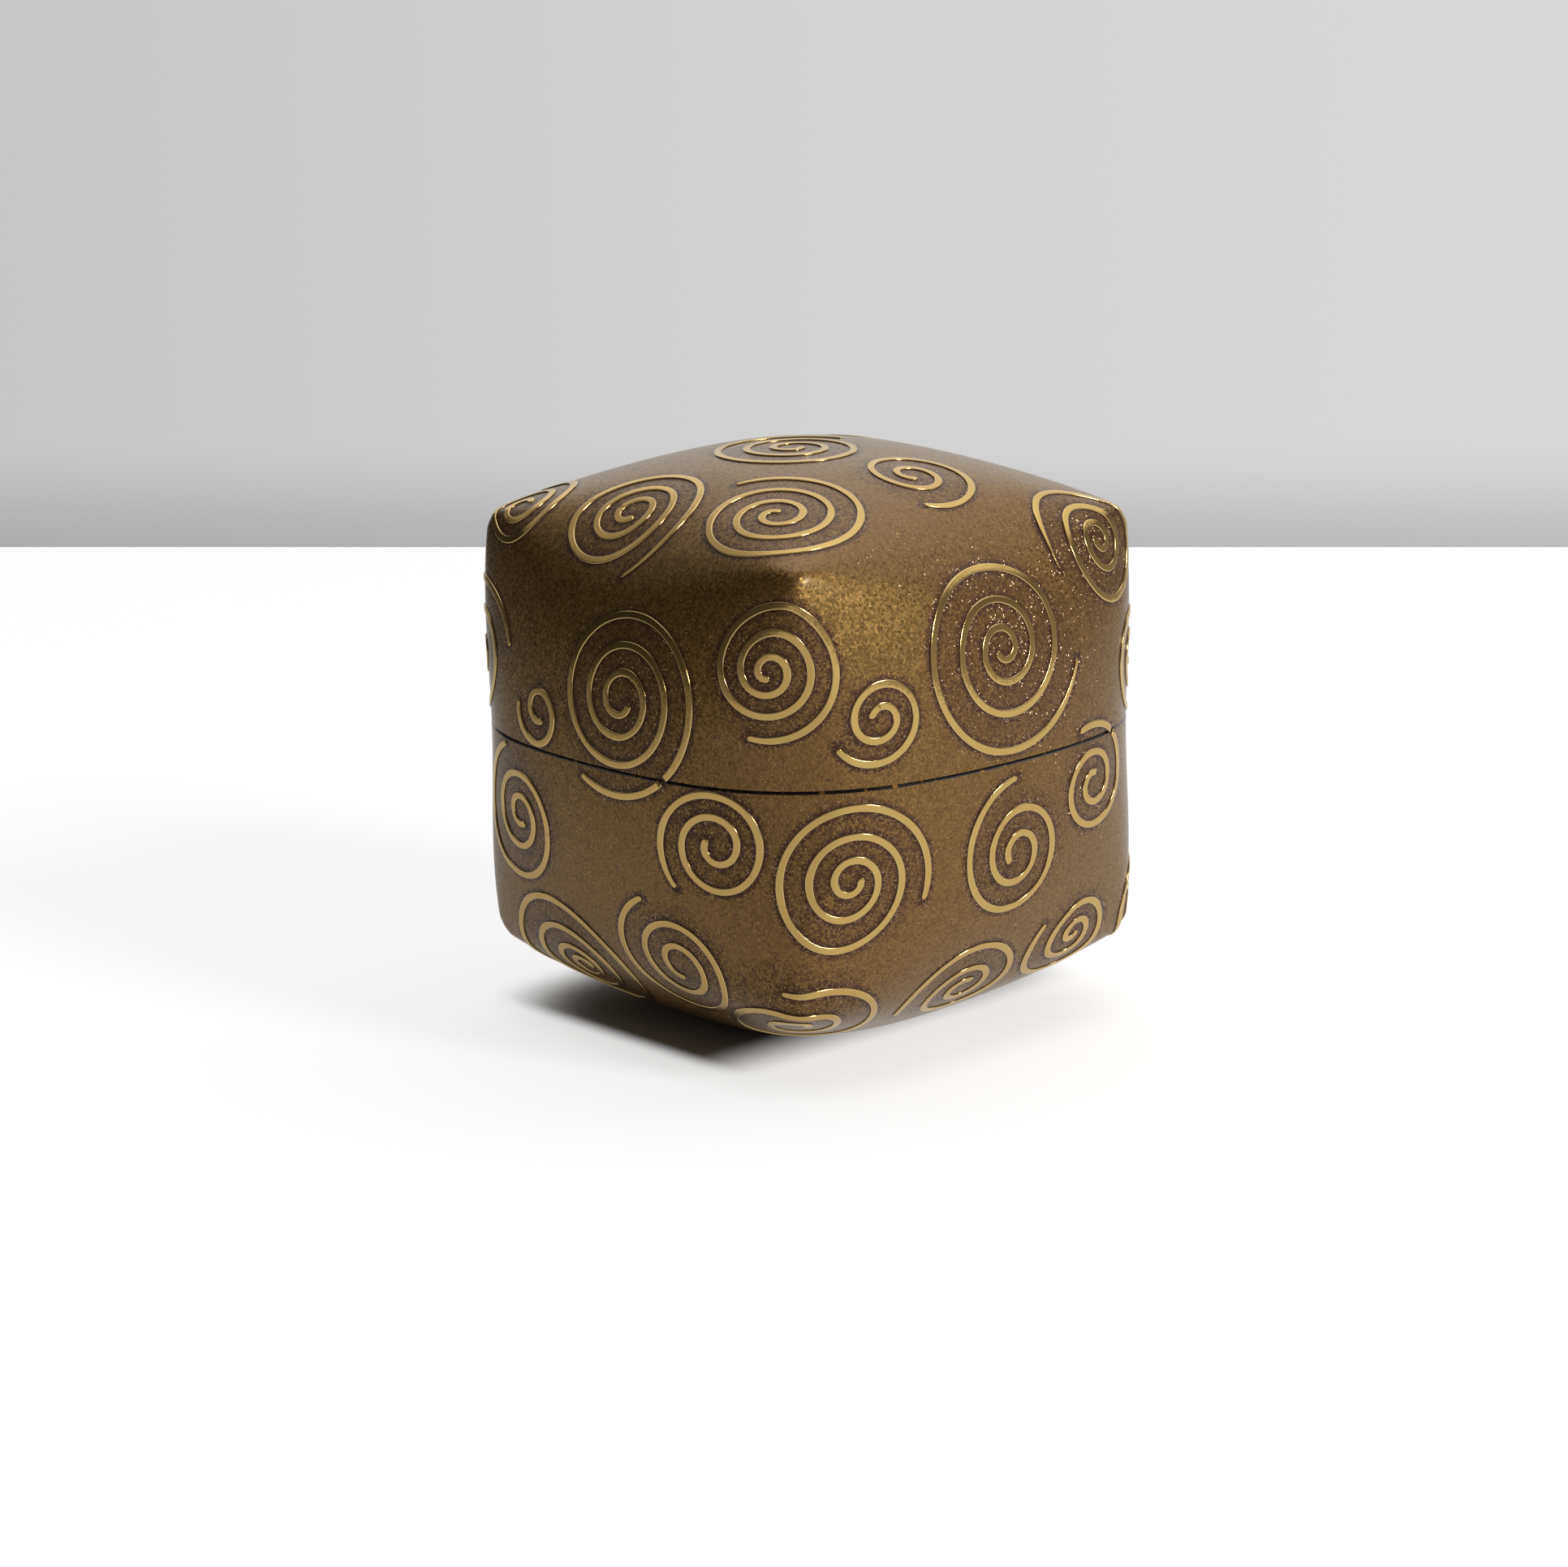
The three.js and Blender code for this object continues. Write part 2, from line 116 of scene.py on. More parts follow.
def level(points, form):
    """1 on the domed cube, less inside it and more outside it"""
    x, y, z = (np.abs(points) / half_sizes(form)).T
    cornerness = 27 * (x * y * z) ** 2 / (x * x + y * y + z * z) ** 3
    softness = np.sqrt(np.maximum(0, 1 - cornerness))
    power = form["edge"] / np.maximum(softness, form["edge"] / form["tip"])
    side_rise = SIDE_DOME / form["half_width"]
    end_rise = np.where(points[:, 2] > 0, TOP_DOME, BOTTOM_DOME) / form["half_height"]
    parts = np.array([
        x / (1 + side_rise * (1 - (y * y + z * z) / 2)),
        y / (1 + side_rise * (1 - (x * x + z * z) / 2)),
        z / (1 + end_rise * (1 - (x * x + y * y) / 2)),
    ])
    most = parts.max(axis=0)
    return most * ((parts / most) ** power).sum(axis=0) ** (1 / power)


def last_inside(place, low, high, form):
    """Halves the way from low to high until place() lies on the surface"""
    for _ in range(HALVINGS):
        middle = (low + high) / 2
        inside = level(place(middle), form) < 1
        low = np.where(inside, middle, low)
        high = np.where(inside, high, middle)
    return place(low)


def on_surface(directions, form):
    """The points of the surface in some directions from the middle"""
    size = np.abs(directions / half_sizes(form)).max(axis=1)
    unit = directions / size[:, None]
    low = np.full(len(unit), NEAREST)
    high = np.full(len(unit), FARTHEST)
    return last_inside(lambda share: unit * share[:, None], low, high, form)


def at_height(outward, height, form):
    """The points of the surface at a height, in some directions out from the axis"""
    outward = unit_rows(outward)
    low = np.zeros(len(outward))
    high = np.full(len(outward), form["half_width"] * FARTHEST)
    level_line = np.full((len(outward), 1), height)
    return last_inside(lambda out: np.hstack([outward * out[:, None], level_line]), low, high, form)


def normals_at(points, form):
    steps = np.eye(3) * SLOPE_STEP
    slope = [level(points + step, form) - level(points - step, form) for step in steps]
    return unit_rows(np.array(slope).T)


widest = on_surface(np.array([[1.0, 0, 0]]), OUTSIDE)[0, 0] * 2
solid_width = (cad_box[1][0] - cad_box[0][0]) / MM
print("widest across the domes", round(widest, 2), "mm; solids", round(solid_width, 2))

# %% [markdown]
# The gold spirals are laid out face by face, as a lacquerer would sketch them on a flat sheet, and
# then carried onto the dome. Lengths are in hundredths of the half width. Each one could be drawn
# as a curve by hand, but a spiral is only a centre, a radius and a number of turns. Swell brings
# the inner coils closer together, stretch and lean make it oval, and drift pulls it to one side.

# %% The layout of the spirals
FACES = {
    "left": ((-1, 0, 0), (0, -1, 0)),
    "front": ((0, -1, 0), (1, 0, 0)),
    "right": ((1, 0, 0), (0, 1, 0)),
    "back": ((0, 1, 0), (-1, 0, 0)),
    "top": ((0, 0, 1), (1, 0, 0)),
    "base": ((0, 0, -1), (1, 0, 0)),
}  # where each face looks, and which way is right on it

CORE = 3.5  # radius at which a line starts, at the middle of its spiral

SPIRALS = {
    "top": [
        dict(at=(-90.7, 77.6), radius=22.8, turns=2.27, end=41, core=3, stretch=1.1, lean=-15),
        dict(at=(-80, 13.3), radius=33.8, turns=-3.05, end=217,
             core=4.6, swell=1.35, stretch=1.06, lean=-26, drift=(-3.9, 1)),
        dict(at=(-60.6, -50.1), radius=35.7, turns=3.17, end=73,
             core=2.7, swell=1.17, drift=(-0.8, -0.8)),
        dict(at=(-3.2, 2.3), radius=29.2, turns=-2.91, end=11,
             core=2.4, swell=1.15, stretch=1.03, lean=-55),
        dict(at=(6.5, -48.2), radius=24.1, turns=-2.11, end=236,
             core=3.1, swell=1.39, stretch=1.02, lean=-79, drift=(1.9, -0.2)),
        dict(at=(70, 40), radius=21, turns=2.5, end=60),
        dict(at=(-24, 90), radius=17, turns=-2, end=200),
        dict(at=(32, 85), radius=21, turns=2.3, end=300),
        dict(at=(94, -24), radius=18, turns=-2, end=150),
        dict(at=(89, 85), radius=18, turns=2, end=250),
    ],
    "left": [
        dict(at=(-96.9, 37.2), radius=39.1, turns=-2.22, end=20,
             core=3, stretch=1.09, lean=27, drift=(1, -1.9)),
        dict(at=(-27.1, 17.8), radius=12.6, turns=-1.36, end=165,
             stretch=1.04, lean=-59, drift=(-2.2, -2)),
        dict(at=(15.3, 28.8), radius=36.3, turns=-3.31, end=238,
             core=4.5, swell=1.27, stretch=1.02, lean=-89, drift=(0.1, 1.3)),
        dict(at=(85.3, 53.1), radius=30.6, turns=-3.12, end=252,
             core=2.3, swell=1.23, stretch=1.04, lean=65, drift=(2.2, 3.1)),
        dict(at=(-43.6, -24.2), radius=28.8, turns=-2.55, end=104,
             core=4, swell=1.36, stretch=1.03, lean=57, drift=(-3.9, -3.3)),
        dict(at=(58.7, -18), radius=24.4, turns=2.2, end=224,
             stretch=1.01, lean=79, drift=(-0.9, -2.9)),
        dict(at=(-37, -101.1), radius=42.4, turns=3.64, end=213,
             core=4, swell=1.63, stretch=1.06, lean=-55, drift=(-0.2, 1.2)),
        dict(at=(35.1, -74.3), radius=31.5, turns=-2.44, end=107,
             core=6.2, swell=1.25, stretch=1.02, lean=60, drift=(-2.7, -1.6)),
    ],
    "front": [
        dict(at=(-57.5, 28.5), radius=18.8, turns=-1.88, end=209,
             core=4, swell=1.35, stretch=1.04, lean=43, drift=(-0.8, 1.2)),
        dict(at=(-0.4, 43.9), radius=40.4, turns=3.44, end=344,
             core=3.1, swell=1.41, stretch=1.04, lean=66, drift=(0.1, 1.4)),
        dict(at=(70, 83.8), radius=33.1, turns=3.1, end=195,
             core=3.2, swell=1.56, stretch=1.11, lean=-76, drift=(0.2, -1.2)),
        dict(at=(-71.6, -32.3), radius=35.1, turns=-3.09, end=341,
             swell=1.31, stretch=1.04, lean=60, drift=(-1.7, -3.6)),
        dict(at=(3.7, -30.6), radius=26.8, turns=-2.36, end=94,
             core=4.8, swell=1.32, stretch=1.05, lean=-80),
        dict(at=(44.5, -13.8), radius=22.7, turns=2.13, end=114,
             core=3.9, swell=1.26, stretch=1.02, lean=12, drift=(0.6, 0.5)),
        dict(at=(51.6, -82.4), radius=25.3, turns=-2.59, end=149,
             core=1.8, swell=1.3, stretch=1.05, lean=80, drift=(-0.5, -3.5)),
    ],
    "right": [
        dict(at=(-98.4, 31.5), radius=28.5, turns=2.4, end=20),
        dict(at=(-85, -85), radius=24, turns=-2.3, end=60),
        dict(at=(-16, 46), radius=29, turns=-2.9, end=220),
        dict(at=(58, 33), radius=23, turns=2.3, end=130),
        dict(at=(5, -35), radius=24, turns=2.6, end=330),
        dict(at=(68, -40), radius=21, turns=-2.2, end=240),
        dict(at=(32, -90), radius=18, turns=-2, end=80),
    ],
    "back": [
        dict(at=(-65, 57), radius=27, turns=-2.6, end=60),
        dict(at=(10, 30), radius=32, turns=3, end=275),
        dict(at=(-71, -35), radius=27, turns=2.4, end=80),
        dict(at=(-3, -58), radius=23, turns=-2.3, end=30),
        dict(at=(61, -30), radius=23, turns=2.3, end=200),
        dict(at=(45, -90), radius=20, turns=-2, end=130),
    ],
    "base": [
        dict(at=(-85.6, 82.7), radius=39.2, turns=2.4, end=143,
             core=4.5, swell=1.35, stretch=1.08, lean=87, drift=(7.9, -10.4)),
        dict(at=(-1.2, 92.2), radius=31.4, turns=2.4, end=201,
             core=5, swell=1.43, stretch=1.03, lean=-11, drift=(-1.5, 0.3)),
        dict(at=(82, 26), radius=19, turns=-2.2, end=90),
        dict(at=(77, -74), radius=22, turns=2.2, end=40),
        dict(at=(13, -79), radius=18, turns=-2, end=320),
    ],
}
print(sum(len(rows) for rows in SPIRALS.values()), "spirals on", len(FACES), "faces")

# %% [markdown]
# A spiral is drawn on the plane that touches the box at its centre, and each of its points is then
# pressed straight towards the middle of the box until it meets the surface. Where a spiral runs
# across the seam between lid and body, the line is cut there, as on the real box.

# %% Carry a flat spiral onto the box
SAMPLES_PER_TURN = 300
SEAM_GAP = 0.24  # a cut line stops this far from the seam


def coil(line, share):
    """Places on the flat spiral, from its inner end at share 0 to its outer end at share 1"""
    core = line.get("core", CORE)
    stretch = line.get("stretch", 1)
    drift = line.get("drift", (0, 0))
    lean = radians(line.get("lean", 0))
    out = core + (line["radius"] - core) * share ** line.get("swell", 1)
    turned = np.radians(line["end"] - 360 * line["turns"] * (1 - share)) - lean
    along = out * np.cos(turned) * stretch
    beside = out * np.sin(turned) / stretch
    x = along * cos(lean) - beside * sin(lean) + drift[0] * share
    y = along * sin(lean) + beside * cos(lean) + drift[1] * share
    return x, y


def spiral_centre(line, face):
    middle, right = (np.array(side, float) for side in FACES[face])
    upright = middle[2] == 0
    unit_across = HALF_WIDTH / 100
    unit_up = (HALF_HEIGHT if upright else HALF_WIDTH) / 100
    reach = HALF_WIDTH if upright else HALF_HEIGHT
    across, up = line["at"]
    flat = middle * reach + right * across * unit_across + np.cross(middle, right) * up * unit_up
    centre = on_surface(flat[None], OUTSIDE)[0]
    growth = np.linalg.norm(centre) / np.linalg.norm(flat)
    return centre, right, unit_across * growth, unit_up * growth


def spiral_points(line, face, shares):
    centre, right, unit_across, unit_up = spiral_centre(line, face)
    normal = normals_at(centre[None], OUTSIDE)[0]
    flat_right = right - normal * right.dot(normal)
    flat_right = flat_right / np.linalg.norm(flat_right)
    flat_up = np.cross(normal, flat_right)
    x, y = coil(line, shares)
    flat = centre + np.outer(x * unit_across, flat_right) + np.outer(y * unit_up, flat_up)
    return on_surface(flat, OUTSIDE)


def stretches(line, face):
    """The stretches of a spiral on the lid (1) or on the body (-1), as shares of its length"""
    samples = round(abs(line["turns"]) * SAMPLES_PER_TURN)
    shares = np.linspace(0, 1, samples + 1)
    height = spiral_points(line, face, shares)[:, 2] - SEAM_RISE
    part = np.where(np.abs(height) < SEAM_GAP, 0, np.sign(height))
    runs = np.split(np.arange(len(shares)), np.flatnonzero(np.diff(part)) + 1)
    return [(part[run[0]], shares[run[0]], shares[run[-1]]) for run in runs if part[run[0]] != 0]


LINES = {}
for face, rows in SPIRALS.items():
    for number, line in enumerate(rows, 1):
        for tail, (part, start, stop) in enumerate(stretches(line, face)):
            name = f"{face}_spiral_{number}" + (f"_tail_{tail}" if tail else "")
            LINES[name] = {"line": line, "face": face, "part": part, "start": start, "stop": stop}

solids = {name for name in frame["nodes"] if "spiral" in name}
print(len(LINES), "lines; the same names as the solids:", set(LINES) == solids)

# %% [markdown]
# Lid and body are each one piece of wood with a thin wall. A subdivision surface over a few faces
# would round the peaks away, so half a cube is cut into a fine grid and every vertex is pressed
# onto the form. The grid's lowest row is set on the edge of the joint, which keeps it crisp.

# %% Press half a cube onto a form
OUTSIDE_CUTS = 127
INSIDE_CUTS = 63
TRIAL_CUTS = 15
EVENNESS = 0.55  # 1 spaces the grid evenly, and less draws it together towards the edges


def press(bm, form, start, side):
    """Moves half a cube onto the form, above the start height for side 1 and below it for side -1"""
    flat = np.array([vert.co for vert in bm.verts])
    flat = EVENNESS * flat + (1 - EVENNESS) * np.sin(flat * pi / 2)
    outward = flat[:, :2]
    wall = np.abs(outward).max(axis=1) > 1 - 1e-6
    first_row = at_height(outward[wall], start, form)
    reach = np.abs(first_row[:, :2]).max(axis=1) / form["half_width"]
    begin = start / form["half_height"] / reach
    lift = np.full(len(flat), float(side))
    lift[wall] = begin + (side - begin) * np.abs(flat[wall, 2])
    directions = np.column_stack([outward, lift]) * half_sizes(form)
    place_vertices(bm.verts, on_surface(directions, form))


def place_vertices(verts, points):
    for vert, point in zip(verts, points):
        vert.co = Vector(point)


def half_skin(form, start, side, cuts):
    bm = bmesh.new()
    bmesh.ops.create_cube(bm, size=2)
    bmesh.ops.subdivide_edges(bm, edges=bm.edges, cuts=cuts, use_grid_fill=True)
    whole = bm.verts[:] + bm.edges[:] + bm.faces[:]
    bmesh.ops.bisect_plane(bm, geom=whole, plane_no=(0, 0, side), clear_inner=True)
    press(bm, form, start, side)
    return bm


trial = half_skin(OUTSIDE, SEAM_RISE, 1, TRIAL_CUTS)
print("a coarse lid skin:", len(trial.verts), "vertices")
trial.free()

# %% [markdown]
# The edge of the joint is built by carrying the open edge on, step by step: a small chamfer that
# shows as the dark line of the seam, the flat land where lid and body meet, and the seat of the
# inner rim. An inner skin, pressed the same way and turned inside out, closes the wall.

# %% Close a shell with its joint and its inner wall
SEAM_CHAMFER = 0.25
LIP_WALL = 2.6  # wall left outside the inner rim
RIM_BELOW = 6  # depth of the rim's seat in the body
RIM_ABOVE = 7  # height of the rim above the seam
RIM_TOP_GAP = 0.6
SHARP_ANGLE = radians(30)
GROUND = 0  # material numbers on a shell
BARE_LACQUER = 1


def open_edges(bm):
    return [edge for edge in bm.edges if len(edge.link_faces) < 2]


def outline(outward, offset, height):
    """The outline of the box at the seam, drawn in by an offset and set at a height"""
    edge = at_height(outward, SEAM_RISE, OUTSIDE)[:, :2]
    points = np.hstack([edge, np.full((len(edge), 1), SEAM_RISE)])
    inward = unit_rows(-normals_at(points, OUTSIDE)[:, :2])
    return np.hstack([edge + inward * offset, np.full((len(edge), 1), height)])


def carry_in(bm, ring, offset, height):
    """Extrudes the open edge, and sets it in from the outline of the box. Returns the new edge."""
    edges = [edge for edge in open_edges(bm) if edge.verts[0] in ring]
    made = bmesh.ops.extrude_edge_only(bm, edges=edges)["geom"]
    fresh = {}
    for vert in (part for part in made if isinstance(part, bmesh.types.BMVert)):
        neighbours = (edge.other_vert(vert) for edge in vert.link_edges)
        fresh[vert] = next(ring[other] for other in neighbours if other in ring)
    place_vertices(fresh, outline(np.array(list(fresh.values())), offset, height))
    return fresh


def join_inner_skin(bm, start, side):
    """Adds the inner skin, turned inside out, and bridges the two open edges"""
    inner = half_skin(INSIDE, start, side, INSIDE_CUTS)
    bmesh.ops.reverse_faces(inner, faces=inner.faces)
    sheet = bpy.data.meshes.new("inner_skin")
    inner.to_mesh(sheet)
    inner.free()
    bm.from_mesh(sheet)
    bpy.data.meshes.remove(sheet)
    bmesh.ops.bridge_loops(bm, edges=open_edges(bm))


def shell(side, seat_height):
    bm = half_skin(OUTSIDE, SEAM_RISE + side * SEAM_CHAMFER, side, OUTSIDE_CUTS)
    outer_faces = set(bm.faces)
    ring = {vert: (vert.co.x, vert.co.y) for edge in open_edges(bm) for vert in edge.verts}
    for offset, height in [(SEAM_CHAMFER, SEAM_RISE), (LIP_WALL, SEAM_RISE), (LIP_WALL, seat_height)]:
        ring = carry_in(bm, ring, offset, height)
    join_inner_skin(bm, seat_height, side)
    for face in bm.faces:
        face.smooth = True
        face.material_index = GROUND if face in outer_faces else BARE_LACQUER
    return bm


def finish_shell(bm, name):
    """Moves the shell up onto its foot, in metres, and makes the piece"""
    for edge in bm.edges:
        edge.smooth = edge.calc_face_angle(0) < SHARP_ANGLE
    bmesh.ops.recalc_face_normals(bm, faces=bm.faces)
    return finish_piece(bm, name, name)


def finish_piece(bm, name, node):
    """A piece in metres, standing on its foot, that stands for one of the solids"""
    bmesh.ops.translate(bm, verts=bm.verts, vec=(0, 0, MIDDLE))
    bmesh.ops.scale(bm, verts=bm.verts, vec=(MM, MM, MM))
    mesh = bpy.data.meshes.new(name)
    bm.to_mesh(mesh)
    bm.free()
    piece = bpy.data.objects.new(name + "_fine", mesh)
    bpy.context.scene.collection.objects.link(piece)
    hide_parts(node)
    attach(piece, frame["nodes"][node]["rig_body"])
    return piece


lid = finish_shell(shell(1, SEAM_RISE + RIM_ABOVE + RIM_TOP_GAP), "lid_shell")
print("lid:", len(lid.data.polygons), "faces")

# %% [markdown]
# The body is made like the lid, and then stands on a small flat foot. Its bottom dome is cut level
# with a plane, and the hole is closed by one face.

# %% Cut the foot of the body
def cut_foot(bm):
    foot = Vector((0, 0, -MIDDLE))
    whole = bm.verts[:] + bm.edges[:] + bm.faces[:]
    cut = bmesh.ops.bisect_plane(bm, geom=whole, plane_co=foot, plane_no=(0, 0, -1), clear_outer=True)
    rim = [part for part in cut["geom_cut"] if isinstance(part, bmesh.types.BMEdge)]
    closed = bmesh.ops.edgeloop_fill(bm, edges=rim, mat_nr=GROUND)
    for face in closed["faces"]:
        face.smooth = False
    return bm


body = finish_shell(cut_foot(shell(-1, SEAM_RISE - RIM_BELOW)), "body_shell")
print("body:", len(body.data.polygons), "faces")

# %% [markdown]
# Inside the joint sits a thin ring of wood that lines up lid and body. It could be cut from a
# block, but it is a section carried round: one outline of the box is extruded up, in over its
# chamfer, and down again, and its last edge is bridged to the first.

# %% The inner rim
RIM_CLEARANCE = 0.25
RIM_WALL = 1.5
RIM_CHAMFER = 0.4
RIM_AROUND = 256
RIM_ROUNDING = 0.15


def inner_rim():
    outer = LIP_WALL + RIM_CLEARANCE
    inner = outer + RIM_WALL
    top = SEAM_RISE + RIM_ABOVE
    bottom = SEAM_RISE - RIM_BELOW
    bm = bmesh.new()
    start = bmesh.ops.create_circle(bm, segments=RIM_AROUND, radius=1)["verts"]
    ring = {vert: (vert.co.x, vert.co.y) for vert in start}
    place_vertices(ring, outline(np.array(list(ring.values())), outer, bottom))
    section = [(outer, top - RIM_CHAMFER), (outer + RIM_CHAMFER, top), (inner, top), (inner, bottom)]
    for offset, height in section:
        ring = carry_in(bm, ring, offset, height)
    bmesh.ops.bridge_loops(bm, edges=open_edges(bm))
    return bm


def round_edges(bm):
    corners = [edge for edge in bm.edges if edge.calc_face_angle(0) > SHARP_ANGLE]
    bmesh.ops.bevel(bm, geom=corners, affect="EDGES", offset=RIM_ROUNDING, segments=2, profile=0.5,
                    material=-1)
    for face in bm.faces:
        face.smooth = True
    bmesh.ops.recalc_face_normals(bm, faces=bm.faces)
    return bm


rim = finish_piece(round_edges(inner_rim()), "inner_rim", "inner_rim")
print("inner rim:", len(rim.data.polygons), "faces")

# %% [markdown]
# A gold line is about a millimetre wide, with a nearly flat top and rounded shoulders. A curve
# with a bevelled section would do, but would twist on the dome. Here a round rod is cut into short
# lengths, and each of its rings is laid across the spiral, square to the surface. Ends that
# were drawn are rounded, and ends at the seam are cut. The width wavers a little, as by hand.

# %% Wind a rod into a gold line
LINE_WIDTH = 1.05
LINE_HEIGHT = 0.2
LINE_SINK = 0.12  # how deep the underside lies in the lacquer
LINE_SECTION = [(1, 0.3), (0.95, 0.75), (0.84, 0.95), (0.7, 1), (0.3, 1)]  # its right half
RING_STEP = 0.36
END_RINGS = 5
WAVER = 0.07  # share of the width
WAVER_LENGTH = 5
TAPER = (0.22, 4)  # share of the width lost at the outer end, and over how many millimetres
LONG_TAPERS = {
    "top_spiral_2": (0.6, 14),
    "top_spiral_3": (0.35, 6),
    "left_spiral_1": (0.35, 7),
    "front_spiral_2": (0.45, 12),
    "front_spiral_3": (0.6, 10),
}
PATH_SAMPLES = 1200  # points on which the length of a line is measured
STEP_AHEAD = 0.001  # share of a spiral over which its direction is taken


def smooth_rise(value):
    value = np.clip(value, 0, 1)
    return value * value * (3 - 2 * value)


def ring_places(length, round_start, round_stop):
    """Where the rings of a rod lie along its length, close together at the rounded ends"""
    tip = LINE_WIDTH / 2
    turn = (np.arange(END_RINGS) + 0.5) / END_RINGS * pi / 2
    near = tip * (1 - np.cos(turn))
    first = near if round_start else np.array([0.0])
    last = length - near[::-1] if round_stop else np.array([length])
    count = round((length - 2 * tip) / RING_STEP)
    return np.concatenate([first, np.linspace(tip, length - tip, count), last])


def end_fullness(places, length, round_start, round_stop):
    """1 along the rod, falling in a quarter circle at its rounded ends"""
    tip = LINE_WIDTH / 2
    from_start = places if round_start else np.full(len(places), tip)
    from_stop = length - places if round_stop else np.full(len(places), tip)
    nearest = np.clip(np.minimum(from_start, from_stop) / tip, 0, 1)
    return np.sqrt(1 - (1 - nearest) ** 2)


def line_widths(places, length, name, to_outer_end):
    seed = sum(ord(letter) for letter in name)
    waver = [noise.noise(Vector((place / WAVER_LENGTH, seed, 0))) for place in places]
    widths = LINE_WIDTH * (1 + 2 * WAVER * np.array(waver))
    if to_outer_end:
        lost, over = LONG_TAPERS.get(name, TAPER)
        widths = widths * (1 - lost * smooth_rise(1 - (length - places) / over))
    return widths


def whole_section():
    """The section of a line as shares of its half width and of its height, with its underside"""
    left = [(-across, rise) for across, rise in reversed(LINE_SECTION)]
    return np.array([(1, -LINE_SINK / LINE_HEIGHT), *LINE_SECTION, *left, (-1, -LINE_SINK / LINE_HEIGHT)])


def rod(rings):
    """A straight rod of radius 1, cut into rings along a height of 1"""
    bm = bmesh.new()
    sides = len(whole_section())
    bmesh.ops.create_cone(bm, cap_ends=True, segments=sides, radius1=1, radius2=1, depth=1)
    upright = [edge for edge in bm.edges if abs(edge.verts[0].co.z - edge.verts[1].co.z) > 0.5]
    bmesh.ops.subdivide_edges(bm, edges=upright, cuts=rings - 2)
    return bm


def line_plan(name, spec):
    """Where the rings of a line lie on its spiral, how wide they are, and how full at the ends"""
    shares = np.linspace(spec["start"], spec["stop"], PATH_SAMPLES)
    path = spiral_points(spec["line"], spec["face"], shares)
    travelled = np.concatenate([[0], np.cumsum(np.linalg.norm(np.diff(path, axis=0), axis=1))])
    length = travelled[-1]
    round_start = spec["start"] == 0
    round_stop = spec["stop"] == 1
    places = ring_places(length, round_start, round_stop)
    fullness = end_fullness(places, length, round_start, round_stop)
    widths = line_widths(places, length, name, round_stop) * fullness
    return np.interp(places, travelled, shares), widths, fullness


def wind(bm, spec, shares, widths, fullness):
    """Lays the rings of a rod across the spiral. Returns how high each vertex is on the line."""
    points = spiral_points(spec["line"], spec["face"], shares)
    normals = normals_at(points, OUTSIDE)
    ahead = spiral_points(spec["line"], spec["face"], shares + STEP_AHEAD)
    across = unit_rows(np.cross(normals, ahead - points))
    co = np.array([vert.co for vert in bm.verts])
    ring = np.rint((co[:, 2] + 0.5) * (len(shares) - 1)).astype(int)
    section = whole_section()
    corner = np.rint(np.arctan2(co[:, 1], co[:, 0]) / (2 * pi) * len(section)).astype(int)
    side, rise = section[corner % len(section)].T
    height = np.where(rise > 0, rise * LINE_HEIGHT * np.sqrt(fullness[ring]), -LINE_SINK)
    laid = points[ring] + across[ring] * (side * widths[ring] / 2)[:, None]
    place_vertices(bm.verts, laid + normals[ring] * height[:, None])
    return rise


def gold_line(name, spec):
    shares, widths, fullness = line_plan(name, spec)
    bm = rod(len(shares))
    rise = wind(bm, spec, shares, widths, fullness)
    for face in bm.faces:
        face.smooth = True
    bmesh.ops.recalc_face_normals(bm, faces=bm.faces)
    piece = finish_piece(bm, name, name)
    store(piece, "line_rise", rise)
    return piece


def store(piece, name, values):
    """Keeps a number for each vertex, for the materials to read"""
    attribute = piece.data.attributes.new(name, "FLOAT", "POINT")
    attribute.data.foreach_set("value", np.asarray(values, np.float32))


gold_lines = [gold_line(name, spec) for name, spec in LINES.items()]
print(len(gold_lines), "gold lines,", sum(len(piece.data.polygons) for piece in gold_lines), "faces")

# %% [markdown]
# The gold powder was dusted on around the spirals, and thins out towards them. A material can't
# see other pieces, so each vertex of the shells is told how far it is from the nearest gold line,
# and whether it lies within a spiral. A tree of points answers that quickly.

# %% Tell the ground where the lines are
TREE_STEPS = 500
WITHIN_FROM = 0.72  # shares of a spiral's radius over which its dark ground fades out
WITHIN_TO = 0.98
FAR_AWAY = 9


def line_tree():
    paths = []
    for spec in LINES.values():
        shares = np.linspace(spec["start"], spec["stop"], TREE_STEPS)
        paths.append(spiral_points(spec["line"], spec["face"], shares))
    points = np.concatenate(paths)
    tree = KDTree(len(points))
    for index, point in enumerate(points):
        tree.insert(Vector(point), index)
    tree.balance()
    return tree


def mark_ground(piece, tree):
    places = np.array([vert.co for vert in piece.data.vertices]) / MM - (0, 0, MIDDLE)
    distance = [min(tree.find(Vector(place))[2], FAR_AWAY) for place in places]
    within = np.zeros(len(places))
    for face, rows in SPIRALS.items():
        for line in rows:
            centre, _, unit_across, _ = spiral_centre(line, face)
            share = np.linalg.norm(places - centre, axis=1) / (line["radius"] * unit_across)
            within = np.maximum(within, smooth_rise((WITHIN_TO - share) / (WITHIN_TO - WITHIN_FROM)))
    store(piece, "line_distance", distance)
    store(piece, "within_spiral", within)


nearest_line = line_tree()
for piece in (lid, body):
    mark_ground(piece, nearest_line)
print("marked", len(lid.data.vertices) + len(body.data.vertices), "vertices")

